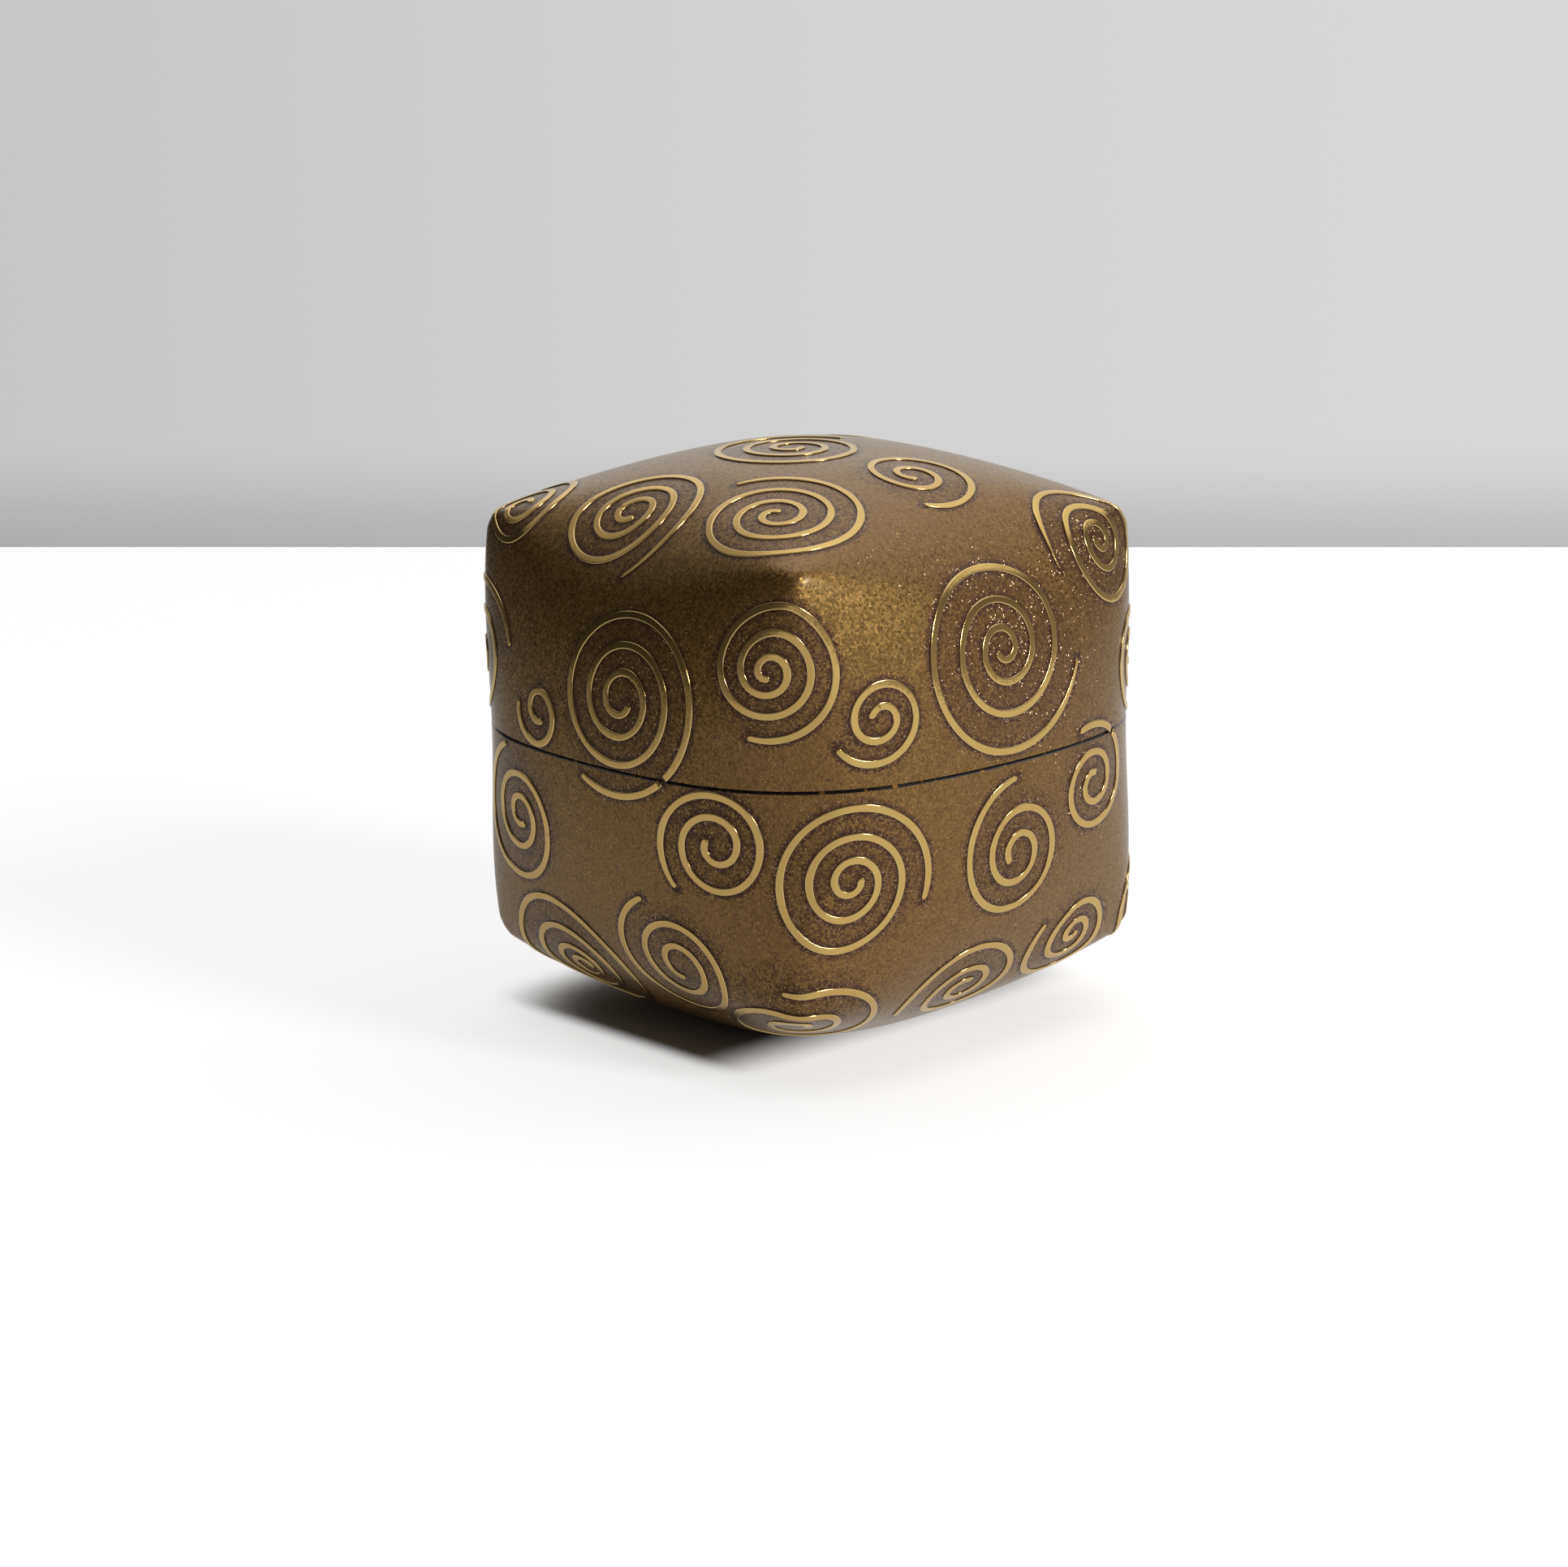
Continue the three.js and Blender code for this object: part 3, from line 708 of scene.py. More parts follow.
# %% [markdown]
# Materials are built from nodes. A few small helpers keep that readable: one adds a node with its
# values and joins, others do sums, soft steps and mixes, and one places an effect that several
# materials share. Patterns read a place on the piece itself, so they stay on it when it moves.

# %% Helpers for materials
def node(tree, kind, inputs=None, **settings):
    """Adds a node. An input may be a value, or the output of another node."""
    made = tree.nodes.new(kind)
    for name, value in settings.items():
        setattr(made, name, value)
    for name, value in (inputs or {}).items():
        if isinstance(value, bpy.types.NodeSocket):
            tree.links.new(value, made.inputs[name])
        else:
            made.inputs[name].default_value = value
    return made


def maths(tree, operation, first, second=0.0):
    return node(tree, "ShaderNodeMath", {0: first, 1: second}, operation=operation).outputs[0]


def soft_step(tree, value, low, high):
    inputs = {"Value": value, "From Min": low, "From Max": high}
    mapped = node(tree, "ShaderNodeMapRange", inputs, interpolation_type="SMOOTHSTEP")
    return mapped.outputs["Result"]


def mix_colours(tree, factor, first, second):
    mixed = node(tree, "ShaderNodeMix", {"Factor": factor}, data_type="RGBA")
    for socket, value in ((mixed.inputs[6], first), (mixed.inputs[7], second)):
        if isinstance(value, bpy.types.NodeSocket):
            tree.links.new(value, socket)
        else:
            socket.default_value = value
    return mixed.outputs[2]


def mix_values(tree, factor, first, second):
    return node(tree, "ShaderNodeMix", {"Factor": factor, 2: first, 3: second}).outputs[0]


def place_on(tree):
    """The place of a point on its own piece, in metres"""
    return node(tree, "ShaderNodeTexCoord").outputs["Object"]


def noise_on(tree, scale, detail=2.0):
    """Soft noise on a piece, with so many swells in a metre"""
    inputs = {"Vector": place_on(tree), "Scale": scale, "Detail": detail}
    return node(tree, "ShaderNodeTexNoise", inputs).outputs["Fac"]


def reach_along(tree, vector, direction):
    """How far a vector reaches in a direction"""
    product = node(tree, "ShaderNodeVectorMath", {0: vector, 1: direction}, operation="DOT_PRODUCT")
    return product.outputs["Value"]


def effect(tree, group, **values):
    """Places a shared effect in a material, with its own values, and returns its outputs"""
    placed = node(tree, "ShaderNodeGroup", node_tree=group)
    for name, value in values.items():
        placed.inputs[name].default_value = value
    return placed.outputs


def colour(red, green, blue):
    """A colour written as it looks on a screen, 0 to 255, in the linear values that nodes take"""
    shares = [value / 255 for value in (red, green, blue)]
    return (*[s / 12.92 if s <= 0.04045 else ((s + 0.055) / 1.055) ** 2.4 for s in shares], 1)


def new_material(name):
    material = bpy.data.materials.new(name)
    material.use_nodes = True
    material.node_tree.nodes.clear()
    return material, material.node_tree


def new_group(name, takes, gives):
    group = bpy.data.node_groups.new(name, "ShaderNodeTree")
    for label, kind, value in takes:
        socket = group.interface.new_socket(label, in_out="INPUT", socket_type=kind)
        if value is not None:
            socket.default_value = value
    for label, kind in gives:
        group.interface.new_socket(label, in_out="OUTPUT", socket_type=kind)
    return group


print("a mid grey is", round(colour(128, 128, 128)[0], 3), "in linear values")

# %% [markdown]
# Gold powder is thousands of tiny flakes, each at its own tilt. Modelling them would take millions
# of faces. A Voronoi texture gives every cell one random colour. Its red decides by chance where
# powder lies, its green tells how bright a flake is, and the whole of it tips the surface normal a
# little, so that some flakes catch the light. With hardly any tilt it serves the gold lines too.

# %% The flakes, for the ground, the gold and the lacquer inside
def flakes_group():
    takes = [("Size", "NodeSocketFloat", 0.3), ("Tilt", "NodeSocketFloat", 0.3)]
    gives = [("Chance", "NodeSocketFloat"), ("Tint", "NodeSocketFloat"), ("Normal", "NodeSocketVector")]
    group = new_group("Powder flakes", takes, gives)
    given = node(group, "NodeGroupInput")
    per_metre = maths(group, "DIVIDE", 1 / MM, given.outputs["Size"])
    cells = node(group, "ShaderNodeTexVoronoi", {"Vector": place_on(group), "Scale": per_metre})
    parts = node(group, "ShaderNodeSeparateColor", {"Color": cells.outputs["Color"]})
    centred = node(group, "ShaderNodeVectorMath", {0: cells.outputs["Color"], 1: (0.5, 0.5, 0.5)},
                   operation="SUBTRACT")
    tipped = node(group, "ShaderNodeVectorMath", {0: centred.outputs[0], "Scale": given.outputs["Tilt"]},
                  operation="SCALE")
    surface = node(group, "ShaderNodeNewGeometry").outputs["Normal"]
    summed = node(group, "ShaderNodeVectorMath", {0: surface, 1: tipped.outputs[0]}, operation="ADD")
    normal = node(group, "ShaderNodeVectorMath", {0: summed.outputs[0]}, operation="NORMALIZE")
    outputs = {"Chance": parts.outputs["Red"], "Tint": parts.outputs["Green"], "Normal": normal.outputs[0]}
    node(group, "NodeGroupOutput", outputs)
    return group


FLAKES = flakes_group()
print("flakes group:", len(FLAKES.nodes), "nodes")

# %% [markdown]
# Years of handling rub lacquer away in small patches. Noise, cut off at a high value, gives a few
# separate spots with soft rims. The same effect serves the gold lines and the edge of the seam.

# %% Rubbed patches
PATCH_RIM = 0.06  # how much the noise rises over the soft rim of a patch
PATCH_DETAIL = 4.0


def rubbed_group():
    takes = [("Size", "NodeSocketFloat", 3.0), ("Amount", "NodeSocketFloat", 0.3)]
    group = new_group("Rubbed patches", takes, [("Mask", "NodeSocketFloat")])
    given = node(group, "NodeGroupInput")
    cloud = noise_on(group, maths(group, "DIVIDE", 1 / MM, given.outputs["Size"]), PATCH_DETAIL)
    edge = maths(group, "SUBTRACT", 1.0, given.outputs["Amount"])
    mask = soft_step(group, cloud, edge, maths(group, "ADD", edge, PATCH_RIM))
    node(group, "NodeGroupOutput", {"Mask": mask})
    return group


RUBBED = rubbed_group()
print("rubbed group:", len(RUBBED.nodes), "nodes")

# %% [markdown]
# The ground is dark purple-brown lacquer with gold powder in it. Beside a line there is little
# powder, and the lacquer shows through. Away from the lines the flakes cover it to a soft bronze.
# It could be two materials with a mask between them, but one shader whose colour and metal both
# follow the powder gives every shade in between. A few flakes beside the lines lie askew and glint.

# %% How much powder lies where
DARK_FOR = 0.5  # millimetres from the middle of a line to where the powder starts
FULL_FROM = 1.6  # millimetres from it to where the powder is full
WITHIN_SHARE = 0.42  # how much of the powder is left out within a spiral
CLOUD_SIZE = 9  # millimetres across the faint clouds in the powder
CLOUD_CONTRAST = 0.12
LEAST_POWDER = 0.2
MOST_POWDER = 0.93


def powder_density(tree, distance):
    within = node(tree, "ShaderNodeAttribute", attribute_name="within_spiral").outputs["Fac"]
    away = soft_step(tree, distance, DARK_FOR, FULL_FROM)
    outside = maths(tree, "SUBTRACT", 1.0, maths(tree, "MULTIPLY", within, WITHIN_SHARE))
    cloud = noise_on(tree, 1 / (CLOUD_SIZE * MM))
    drift = maths(tree, "MULTIPLY", maths(tree, "SUBTRACT", cloud, 0.5), CLOUD_CONTRAST)
    even = maths(tree, "MULTIPLY", maths(tree, "MULTIPLY", away, outside), MOST_POWDER - LEAST_POWDER)
    return maths(tree, "ADD", maths(tree, "ADD", even, LEAST_POWDER), drift)


# %% The flakes that lie askew
GLINT_SIZE = 0.12  # millimetres across a flake
GLINT_TILT = 0.8
GLINTS_AT_LINES = 0.05  # share of the flakes beside a line
GLINTS_ELSEWHERE = 0.012
GLINT_BAND = (0.5, 0.7, 1.1, 1.8)  # millimetres from the middle of a line: in from, full, until, out


def glints(tree, distance):
    """A mask of the flakes that lie askew, and their normal"""
    flakes = effect(tree, FLAKES, Size=GLINT_SIZE, Tilt=GLINT_TILT)
    begin, full, until, end = GLINT_BAND
    beside = maths(tree, "SUBTRACT", soft_step(tree, distance, begin, full),
                   soft_step(tree, distance, until, end))
    more = maths(tree, "MULTIPLY", beside, GLINTS_AT_LINES - GLINTS_ELSEWHERE)
    share = maths(tree, "ADD", more, GLINTS_ELSEWHERE)
    mask = maths(tree, "LESS_THAN", flakes["Chance"], share)
    return mask, flakes["Normal"]


# %% The worn edge at the seam
SEAM_HEIGHT = MIDDLE + SEAM_RISE
WORN_BAND = (0.5, 0.32)  # millimetres from the seam: where the wear begins, and where it is full
WORN_PATCH = 1.6  # millimetres across a patch
WORN_AMOUNT = 0.35


def worn_edge(tree):
    """A mask along the edge of the seam, where lid and body rub when the box is opened"""
    height = node(tree, "ShaderNodeSeparateXYZ", {"Vector": place_on(tree)}).outputs["Z"]
    above_seam = maths(tree, "SUBTRACT", maths(tree, "DIVIDE", height, MM), SEAM_HEIGHT)
    near_seam = soft_step(tree, maths(tree, "ABSOLUTE", above_seam), *WORN_BAND)
    rubbed = effect(tree, RUBBED, Size=WORN_PATCH, Amount=WORN_AMOUNT)["Mask"]
    return maths(tree, "MULTIPLY", near_seam, rubbed)


# %% The powdered ground
LACQUER = colour(82, 51, 38)
POWDER_DEEP = colour(121, 91, 46)
POWDER_BRIGHT = colour(159, 124, 69)
GLINT = colour(196, 166, 126)
WORN = colour(188, 160, 112)
GRAZING_TINT = (1, 0.97, 0.93, 1)  # what the powder's reflection is tinted with, seen aslant
FLAKE_SIZE = 0.28  # millimetres across
FLAKE_TILT = 0.32
FLAKE_CONTRAST = 0.7
FLAKE_ROUGHNESS = (0.34, 0.6)  # of the smoothest flakes, and of the dullest
GLINT_ROUGHNESS = 0.33
LACQUER_METAL = 0.05  # how metallic the ground is where no powder lies
POWDER_METAL = 0.9  # how much more it is where the powder covers it


def ground_material():
    material, tree = new_material("Powdered lacquer ground")
    distance = node(tree, "ShaderNodeAttribute", attribute_name="line_distance").outputs["Fac"]
    flakes = effect(tree, FLAKES, Size=FLAKE_SIZE, Tilt=FLAKE_TILT)
    uneven = maths(tree, "SUBTRACT", flakes["Chance"], 0.5)
    uneven = maths(tree, "MULTIPLY", uneven, FLAKE_CONTRAST)
    cover = soft_step(tree, maths(tree, "ADD", powder_density(tree, distance), uneven), 0.0, 1.0)
    glint, askew = glints(tree, distance)
    base = mix_colours(tree, flakes["Tint"], POWDER_DEEP, POWDER_BRIGHT)
    base = mix_colours(tree, cover, LACQUER, base)
    base = mix_colours(tree, glint, base, GLINT)
    base = mix_colours(tree, worn_edge(tree), base, WORN)
    metal = maths(tree, "ADD", LACQUER_METAL, maths(tree, "MULTIPLY", cover, POWDER_METAL))
    rough = mix_values(tree, flakes["Tint"], *FLAKE_ROUGHNESS)
    rough = mix_values(tree, glint, rough, GLINT_ROUGHNESS)
    normal = node(tree, "ShaderNodeMix", {"Factor": glint}, data_type="VECTOR")
    tree.links.new(flakes["Normal"], normal.inputs[4])
    tree.links.new(askew, normal.inputs[5])
    shader = node(tree, "ShaderNodeBsdfPrincipled", {
        "Base Color": base,
        "Metallic": maths(tree, "MAXIMUM", metal, glint),
        "Roughness": rough,
        "Normal": normal.outputs[1],
        "Specular IOR Level": 0.15,
        "Specular Tint": GRAZING_TINT,
        "Coat Weight": 0.75,
        "Coat Roughness": 0.2,
        "Coat IOR": 1.25,
    })
    node(tree, "ShaderNodeOutputMaterial", {"Surface": shader.outputs[0]})
    return material


GROUND_MATERIAL = ground_material()
print("ground:", len(GROUND_MATERIAL.node_tree.nodes), "nodes")

# %% [markdown]
# The lines are fine gold, polished smooth. Their shoulders are painted a brighter gold, a painted
# highlight, and their feet are painted in the dark lacquer's colour, a painted shade where they
# meet the ground. In a few places the gold is rubbed to the red lacquer under it.

# %% The gold of the lines
GOLD = colour(217, 183, 111)
# the gold painted on the shoulders, a painted highlight
GOLD_PAINTED_HIGHLIGHT = colour(236, 210, 148)
GOLD_SHADE = colour(186, 140, 70)
RED_UNDERCOAT = colour(120, 52, 26)
SHADED_FOOT_FADE = (0.15, 0.5)  # shares of a line's height over which its foot, painted dark as painted shade, turns to gold
SHOULDER_HIGHLIGHT_RISE = (0.5, 0.8)  # and over which the painted highlight on its shoulders begins, and ends
SHOULDER_HIGHLIGHT_FALL = (1.0, 0.9)
SHADE_SCALE = 250.0  # swells of the slow change of shade in a metre
SHADE_SHARE = 0.3
BARE_PATCH = 4.0  # millimetres across a rubbed patch
BARE_AMOUNT = 0.29
BARE_DULLNESS = 0.7  # share of the metal that is gone there
DENT_SIZE = 0.35  # millimetres across the small dents of the burnisher
DENT_TILT = 0.035
GOLD_ROUGHNESS = (0.13, 0.08)  # of the smoothest gold, and how much more where the shade is full


def gold_material():
    material, tree = new_material("Polished gold line")
    rise = node(tree, "ShaderNodeAttribute", attribute_name="line_rise").outputs["Fac"]
    # painted highlight: the shoulders of a line are painted a brighter gold
    shoulder_highlight = maths(tree, "MULTIPLY", soft_step(tree, rise, *SHOULDER_HIGHLIGHT_RISE),
                     soft_step(tree, rise, *SHOULDER_HIGHLIGHT_FALL))
    bare = effect(tree, RUBBED, Size=BARE_PATCH, Amount=BARE_AMOUNT)["Mask"]
    shade = noise_on(tree, SHADE_SCALE)
    gold = mix_colours(tree, shoulder_highlight, GOLD, GOLD_PAINTED_HIGHLIGHT)
    gold = mix_colours(tree, maths(tree, "MULTIPLY", shade, SHADE_SHARE), gold, GOLD_SHADE)
    gold = mix_colours(tree, bare, gold, RED_UNDERCOAT)
    # painted shade: the foot of a line takes the dark lacquer colour and no metal
    upper = soft_step(tree, rise, *SHADED_FOOT_FADE)
    kept = maths(tree, "SUBTRACT", 1.0, maths(tree, "MULTIPLY", bare, BARE_DULLNESS))
    smoothest, more = GOLD_ROUGHNESS
    shader = node(tree, "ShaderNodeBsdfPrincipled", {
        "Base Color": mix_colours(tree, upper, LACQUER, gold),
        "Metallic": maths(tree, "MULTIPLY", upper, kept),
        "Roughness": maths(tree, "ADD", smoothest, maths(tree, "MULTIPLY", shade, more)),
        "Normal": effect(tree, FLAKES, Size=DENT_SIZE, Tilt=DENT_TILT)["Normal"],
    })
    node(tree, "ShaderNodeOutputMaterial", {"Surface": shader.outputs[0]})
    return material


GOLD_MATERIAL = gold_material()
print("gold:", len(GOLD_MATERIAL.node_tree.nodes), "nodes")

# %% [markdown]
# Inside, and on the joint, the wood is finished in black lacquer with a few flecks of gold. The
# seam shows as a black line because its two small chamfers have this finish.

# %% The black lacquer
BLACK = colour(20, 16, 15)
BROWNISH_BLACK = colour(38, 26, 22)
BLACK_SCALE = 90.0  # swells of the change between the two in a metre
BLACK_DETAIL = 3.0
BLACK_ROUGHNESS = (0.18, 0.12)  # of the smoothest lacquer, and how much more in the brownish parts
FLECK = colour(176, 134, 66)
FLECK_SIZE = 0.5
FLECK_TILT = 0.05
FLECK_CHANCE = (0.955, 0.975)  # cells with a chance above this are flecks
FLECK_METAL = 0.8


def black_material():
    material, tree = new_material("Black lacquer")
    flakes = effect(tree, FLAKES, Size=FLECK_SIZE, Tilt=FLECK_TILT)
    fleck = soft_step(tree, flakes["Chance"], *FLECK_CHANCE)
    soft = noise_on(tree, BLACK_SCALE, BLACK_DETAIL)
    lacquer = mix_colours(tree, soft, BLACK, BROWNISH_BLACK)
    smoothest, more = BLACK_ROUGHNESS
    shader = node(tree, "ShaderNodeBsdfPrincipled", {
        "Base Color": mix_colours(tree, fleck, lacquer, FLECK),
        "Metallic": maths(tree, "MULTIPLY", fleck, FLECK_METAL),
        "Roughness": maths(tree, "ADD", smoothest, maths(tree, "MULTIPLY", soft, more)),
        "Normal": flakes["Normal"],
        "Coat Weight": 0.4,
        "Coat Roughness": 0.08,
    })
    node(tree, "ShaderNodeOutputMaterial", {"Surface": shader.outputs[0]})
    return material


BLACK_MATERIAL = black_material()
print("black lacquer:", len(BLACK_MATERIAL.node_tree.nodes), "nodes")

# %% [markdown]
# A shell has two finishes. Its faces were numbered when it was built, 0 outside and 1 on the joint
# and inside, so the order of its two materials is all that has to be right here. Painting masks
# could do the same, but a numbered face keeps the line between the finishes sharp.

# %% Put the finishes on the pieces
for piece in (lid, body):
    piece.data.materials.append(GROUND_MATERIAL)
    piece.data.materials.append(BLACK_MATERIAL)
rim.data.materials.append(BLACK_MATERIAL)
for piece in gold_lines:
    piece.data.materials.append(GOLD_MATERIAL)
print("dressed", 3 + len(gold_lines), "pieces")

# %% [markdown]
# The camera's direction, distance and lens were fitted to the outline and the corners of the box in
# the photograph. A constraint could aim it, but would hold it level, and the photograph is turned
# by about a degree. So its place and its turn are worked out, and written into its matrix.

# %% The camera
CAMERA_AZIMUTH = radians(-42.69)
CAMERA_HEIGHT_ANGLE = radians(13.77)
CAMERA_DISTANCE = 665.9 * MM
CAMERA_ROLL = radians(-0.98)
LENS = 109.47
SENSOR = 36
CLIP_START = 10 * MM
AIM_LEFT = 3.39 * MM  # the camera looks this far to the left of the middle of the box, and below it
AIM_BELOW = 8.74 * MM


def set_camera():
    flat = cos(CAMERA_HEIGHT_ANGLE)
    back = Vector((sin(CAMERA_AZIMUTH) * flat, -cos(CAMERA_AZIMUTH) * flat, sin(CAMERA_HEIGHT_ANGLE)))
    middle = Vector((0, 0, MIDDLE * MM))
    place = middle + back * CAMERA_DISTANCE
    upright = back.to_track_quat("Z", "Y").to_matrix() @ Matrix.Rotation(CAMERA_ROLL, 3, "Z")
    aim = middle - upright.col[0] * AIM_LEFT - upright.col[1] * AIM_BELOW
    turned = (place - aim).to_track_quat("Z", "Y").to_matrix() @ Matrix.Rotation(CAMERA_ROLL, 3, "Z")
    data = bpy.data.cameras.new("photo_camera")
    data.lens = LENS
    data.sensor_width = SENSOR
    data.clip_start = CLIP_START
    camera = bpy.data.objects.new("photo_camera", data)
    camera.matrix_world = Matrix.Translation(place) @ turned.to_4x4()
    bpy.context.scene.collection.objects.link(camera)
    bpy.context.scene.camera = camera


set_camera()
print("camera at", [round(c, 3) for c in bpy.context.scene.camera.location])

# %% [markdown]
# The set is a white table with a pale grey wall some way behind it. The table ends just behind the
# box, so that its edge crosses the picture as in the photograph. The wall stands far off, out of
# the way of a camera that goes round the box. A table that is lit up to white would wash out its
# shadows, so it is grey to the lamp, and glows where the camera or a shiny piece sees it.

# %% The table and the wall
def level_way(azimuth):
    """A level direction, from its angle around the upright axis in degrees"""
    return Vector((cos(radians(azimuth)), sin(radians(azimuth)), 0))


LAMP_SIDE = level_way(-60)  # the side that the light comes from
AWAY = level_way(42.8)  # the way from the box to the table's far edge
BESIDE = Vector((AWAY.y, -AWAY.x, 0))  # and to the right of that
TABLE_BEHIND = 0.3175  # metres from the box to that edge
TABLE_REACH = 3.5  # and to the other three
TABLE_ALBEDO = 0.45
TABLE_GLOW = 0.76  # added where the table is seen, so that it is white and keeps its shadows
MIRRORED_GLOW = 0.71  # share of it that shiny pieces see on the lit side, falling to none on the other
LIT_FROM_TO = (-0.4, -0.08)  # metres towards the lamp's side over which it rises from none
SHADED_SIDE = level_way(165)  # where the table mirrors darker
SHADED_FROM_TO = (0.0, 0.05)
MIRRORED_SHADE = 0.38  # share of the mirrored glow that is missing there
CONTACT_REACH = 0.014  # how near the box stands where the table stays dark
CONTACT_OPENNESS = (0.35, 0.9)  # how open a place is where it is darkest, and where the shade ends
OPEN_SHADE = 0.12  # share of that shade left under the two near edges, where light comes in
BEHIND_LEFT = (-0.032, -0.027)  # metres along x and y over which the near edges begin to hide it
BEHIND_FRONT = (-0.02, -0.006)
WALL_BEHIND = 2.2
WALL_REACH = 1.5  # to each side
WALL_FROM = -1.5  # from the height of the table down to its foot, and up to its head
WALL_TO = 1.9
WALL_LEFT = colour(196, 196, 196)
WALL_RIGHT = colour(216, 216, 216)
WALL_HIGH = colour(252, 252, 252)
WALL_FOOT = 0.72  # share of the light left where the wall is in the table's shade
WALL_LEFT_TO_RIGHT = (-0.9, 0.3)  # metres beside the box over which the tone changes
WALL_HIGH_FROM_TO = (0.1, 1.0)  # and metres above the table
WALL_FOOT_FROM_TO = (-0.4, -0.32)


def plain_sheet(name, corners):
    bm = bmesh.new()
    bm.faces.new([bm.verts.new(corner) for corner in corners])
    mesh = bpy.data.meshes.new(name)
    bm.to_mesh(mesh)
    bm.free()
    sheet = bpy.data.objects.new(name, mesh)
    bpy.context.scene.collection.objects.link(sheet)
    return sheet


def step_along(tree, direction, ends):
    """A soft step from 0 to 1 between two distances in a direction, in metres"""
    return soft_step(tree, reach_along(tree, place_on(tree), direction), *ends)


def shiny_rays(tree):
    """1 for a ray that a shiny or clear surface sends on"""
    path = node(tree, "ShaderNodeLightPath")
    return maths(tree, "MAXIMUM", path.outputs["Is Glossy Ray"], path.outputs["Is Transmission Ray"])


def camera_rays(tree):
    return node(tree, "ShaderNodeLightPath").outputs["Is Camera Ray"]


def openness(tree):
    """How open the table is: 1 in the open, and 0 under the box where no light comes in"""
    open_air = node(tree, "ShaderNodeAmbientOcclusion", {"Distance": CONTACT_REACH}).outputs["AO"]
    shade = maths(tree, "SUBTRACT", 1.0, soft_step(tree, open_air, *CONTACT_OPENNESS))
    hidden = maths(tree, "MULTIPLY", step_along(tree, Vector((1, 0, 0)), BEHIND_LEFT),
                   step_along(tree, Vector((0, 1, 0)), BEHIND_FRONT))
    shade = maths(tree, "MULTIPLY", shade, mix_values(tree, hidden, OPEN_SHADE, 1.0))
    return maths(tree, "SUBTRACT", 1.0, shade)


def mirrored_glow(tree):
    """How much of the table's glow a shiny piece sees"""
    lit = maths(tree, "MULTIPLY", step_along(tree, LAMP_SIDE, LIT_FROM_TO), MIRRORED_GLOW)
    darker = maths(tree, "MULTIPLY", step_along(tree, SHADED_SIDE, SHADED_FROM_TO), MIRRORED_SHADE)
    lit = maths(tree, "MULTIPLY", lit, maths(tree, "SUBTRACT", 1.0, darker))
    return maths(tree, "MULTIPLY", shiny_rays(tree), lit)


def table_material():
    material, tree = new_material("White table")
    diffuse = node(tree, "ShaderNodeBsdfDiffuse", {"Color": (TABLE_ALBEDO,) * 3 + (1,)})
    seen = maths(tree, "MAXIMUM", camera_rays(tree), mirrored_glow(tree))
    strength = maths(tree, "MULTIPLY", seen, maths(tree, "MULTIPLY", openness(tree), TABLE_GLOW))
    glow = node(tree, "ShaderNodeEmission", {"Strength": strength})
    both = node(tree, "ShaderNodeAddShader", {0: diffuse.outputs[0], 1: glow.outputs[0]})
    node(tree, "ShaderNodeOutputMaterial", {"Surface": both.outputs[0]})
    return material


def wall_material():
    material, tree = new_material("Grey wall")
    up = Vector((0, 0, 1))
    tone = mix_colours(tree, step_along(tree, BESIDE, WALL_LEFT_TO_RIGHT), WALL_LEFT, WALL_RIGHT)
    tone = mix_colours(tree, step_along(tree, up, WALL_HIGH_FROM_TO), tone, WALL_HIGH)
    shade = maths(tree, "MULTIPLY", step_along(tree, up, WALL_FOOT_FROM_TO), 1 - WALL_FOOT)
    seen = maths(tree, "MAXIMUM", camera_rays(tree), shiny_rays(tree))
    strength = maths(tree, "MULTIPLY", seen, maths(tree, "ADD", WALL_FOOT, shade))
    glow = node(tree, "ShaderNodeEmission", {"Color": tone, "Strength": strength})
    node(tree, "ShaderNodeOutputMaterial", {"Surface": glow.outputs[0]})
    return material


def lay_table():
    edge = AWAY * TABLE_BEHIND
    front = -AWAY * TABLE_REACH
    side = BESIDE * TABLE_REACH
    table = plain_sheet("table", [edge - side, front - side, front + side, edge + side])
    table.data.materials.append(table_material())


def stand_wall():
    foot = AWAY * WALL_BEHIND + Vector((0, 0, WALL_FROM))
    head = AWAY * WALL_BEHIND + Vector((0, 0, WALL_TO))
    side = BESIDE * WALL_REACH
    wall = plain_sheet("wall", [foot - side, foot + side, head + side, head - side])
    wall.data.materials.append(wall_material())


lay_table()
stand_wall()
print("table edge", TABLE_BEHIND, "m behind the box")

# %% [markdown]
# One soft lamp stands to the right of the camera and above the box. It gives the pale shadow to
# the left and the glint beside the near peak. The rest is soft light from around: dim on the left,
# brighter on the lamp's side, and brightest on a wide panel overhead and behind. More lamps could
# give that light too, but each would show as a spot in the gold, where a world that changes slowly
# with the direction shows as one smooth gradient.

# %% The lights
KEY_AZIMUTH = radians(-78)
KEY_HEIGHT_ANGLE = radians(29)
KEY_DISTANCE = 2.4
KEY_SIZE = 0.5
KEY_POWER = 24
DARK_SIDE = 0.05  # level of the soft light around, away from the lamp's side
BRIGHT_SIDE = 0.4
HIGHER_UP = 0.5  # share of it that is left higher up
LOW_TO_HIGH = (0.0, 0.45)  # rise of a direction over which it falls to that: 0 is level, 1 is upright
PANEL = 1.3  # level of the wide panel overhead and behind
PANEL_LEFT = 0.5  # level at its left end
PANEL_FROM_LEFT = (-0.6, 0.1)  # reach to the right over which it changes to the full level
PANEL_FROM_LOW = (0.42, 0.6)  # rise over which its lower edge fades in
PANEL_FROM_NEAR = (-0.05, 0.2)  # reach away from the camera over which its near edge fades in
OVERHEAD = 1.5  # how many times brighter it is straight above
OVERHEAD_FROM = (0.7, 0.9)
BACKDROP = 0.7  # level behind the set, where the camera sees past the wall


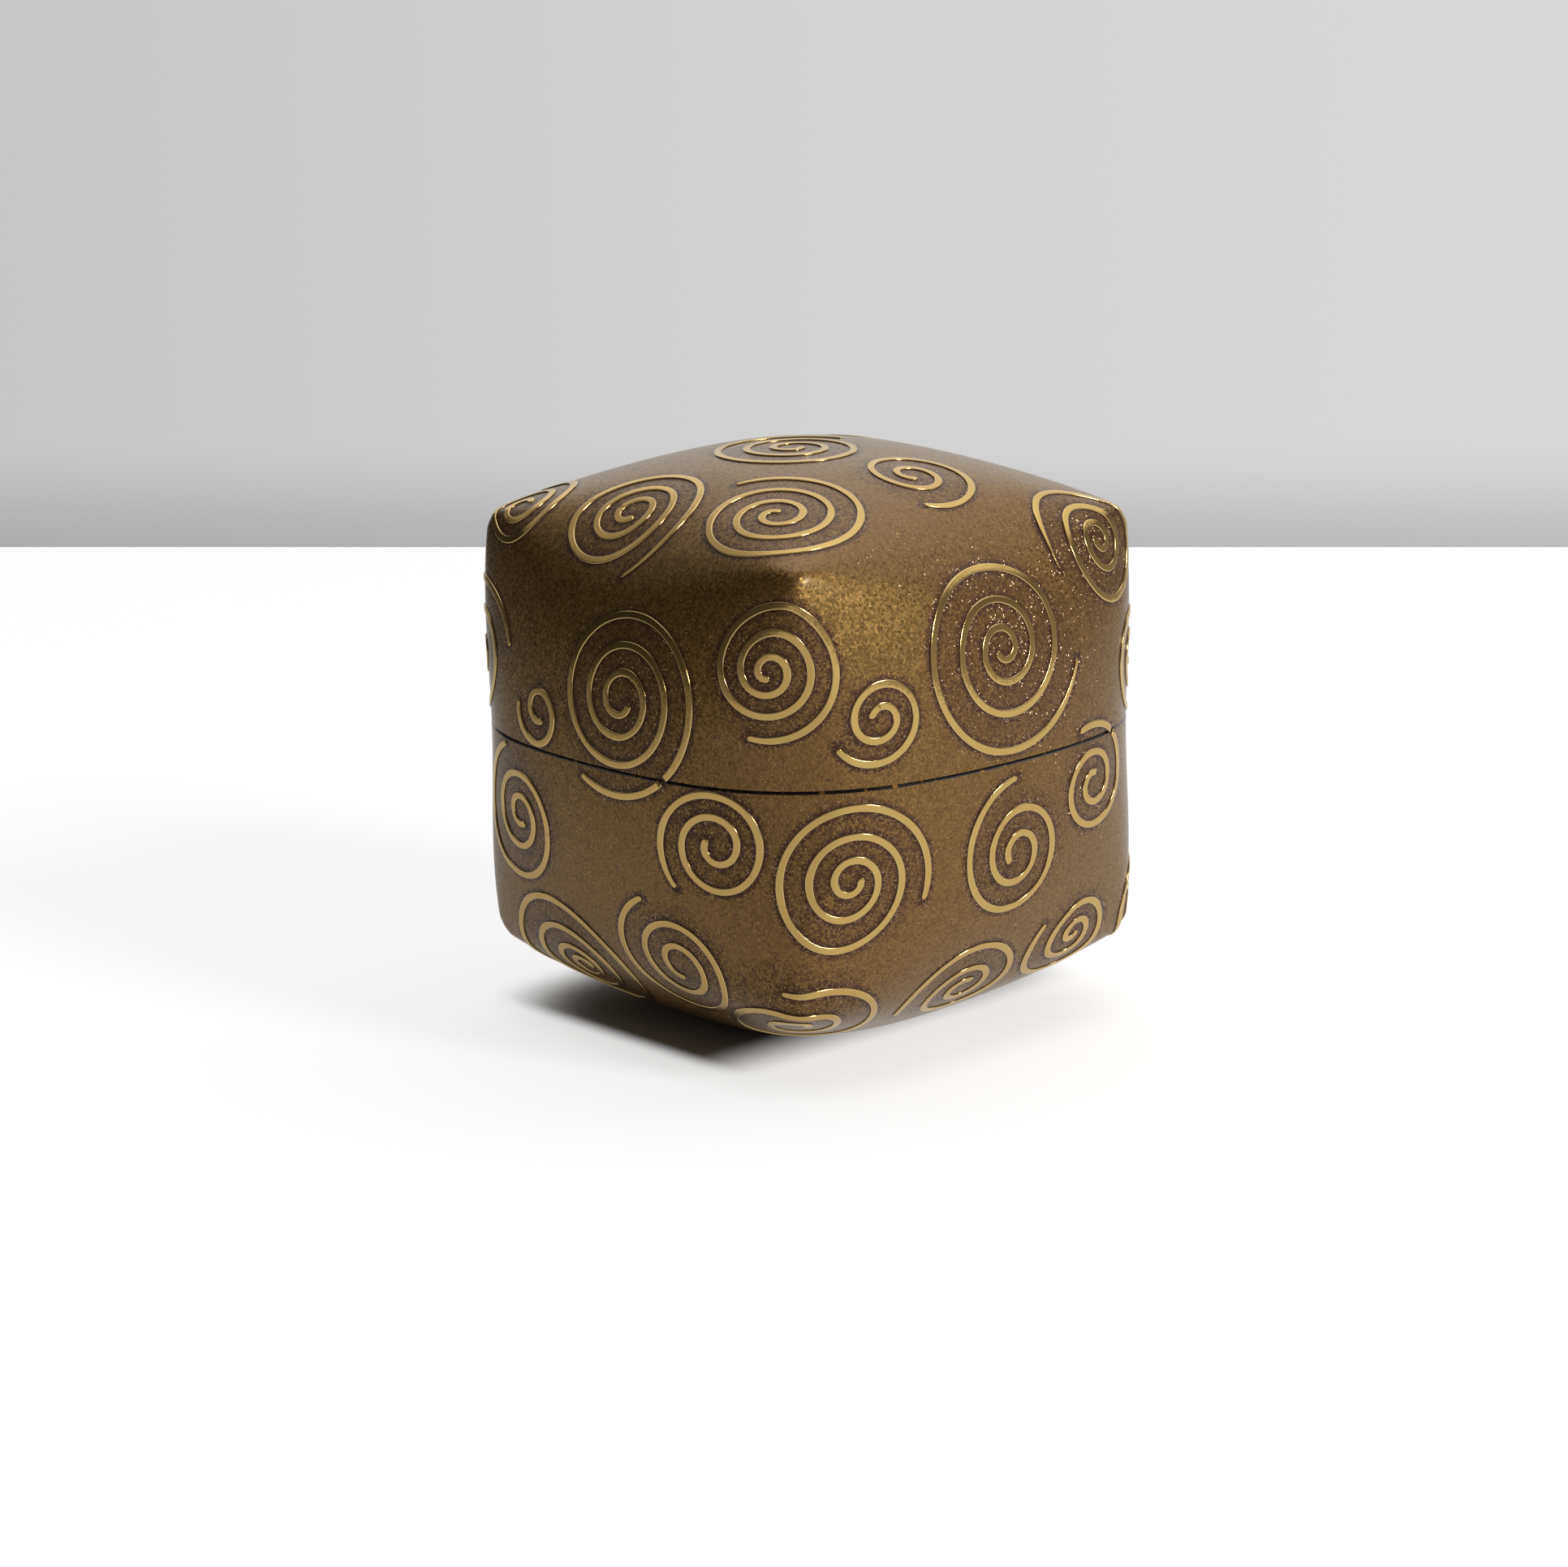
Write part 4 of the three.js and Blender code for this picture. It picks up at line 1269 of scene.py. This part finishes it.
def lamp(name, azimuth, height_angle, distance, size, power):
    """A square lamp that faces the box"""
    flat = cos(height_angle)
    direction = Vector((cos(azimuth) * flat, sin(azimuth) * flat, sin(height_angle)))
    data = bpy.data.lights.new(name, "AREA")
    data.size = size
    data.energy = power
    made = bpy.data.objects.new(name, data)
    place = direction * distance + Vector((0, 0, MIDDLE * MM))
    made.matrix_world = Matrix.Translation(place) @ direction.to_track_quat("Z", "Y").to_matrix().to_4x4()
    bpy.context.scene.collection.objects.link(made)
    return made


def light_around(tree, direction, height):
    """The dim light from all sides"""
    towards_lamp = reach_along(tree, direction, LAMP_SIDE)
    sideways = maths(tree, "ADD", maths(tree, "MULTIPLY", towards_lamp, 0.5), 0.5)
    level = mix_values(tree, sideways, DARK_SIDE, BRIGHT_SIDE)
    kept_up_there = mix_values(tree, soft_step(tree, height, *LOW_TO_HIGH), 1.0, HIGHER_UP)
    return maths(tree, "MULTIPLY", level, kept_up_there)


def panel_light(tree, direction, height):
    """Where the wide panel is, as a mask, and how bright it is there"""
    behind = soft_step(tree, reach_along(tree, direction, AWAY), *PANEL_FROM_NEAR)
    mask = maths(tree, "MULTIPLY", soft_step(tree, height, *PANEL_FROM_LOW), behind)
    across = soft_step(tree, reach_along(tree, direction, BESIDE), *PANEL_FROM_LEFT)
    above = mix_values(tree, soft_step(tree, height, *OVERHEAD_FROM), 1.0, OVERHEAD)
    return mask, maths(tree, "MULTIPLY", mix_values(tree, across, PANEL_LEFT, PANEL), above)


def studio_world():
    world = bpy.data.worlds.new("Studio")
    world.use_nodes = True
    tree = world.node_tree
    tree.nodes.clear()
    direction = node(tree, "ShaderNodeTexCoord").outputs["Generated"]
    height = node(tree, "ShaderNodeSeparateXYZ", {"Vector": direction}).outputs["Z"]
    panel, bright = panel_light(tree, direction, height)
    around = mix_values(tree, panel, light_around(tree, direction, height), bright)
    camera = camera_rays(tree)
    others = maths(tree, "MULTIPLY", maths(tree, "SUBTRACT", 1.0, camera), around)
    level = maths(tree, "ADD", others, maths(tree, "MULTIPLY", camera, BACKDROP))
    background = node(tree, "ShaderNodeBackground", {"Strength": level})
    node(tree, "ShaderNodeOutputWorld", {"Surface": background.outputs[0]})
    bpy.context.scene.world = world


lamp("key_lamp", KEY_AZIMUTH, KEY_HEIGHT_ANGLE, KEY_DISTANCE, KEY_SIZE, KEY_POWER)
studio_world()
bpy.context.scene.view_settings.view_transform = "Standard"
print("lights set")
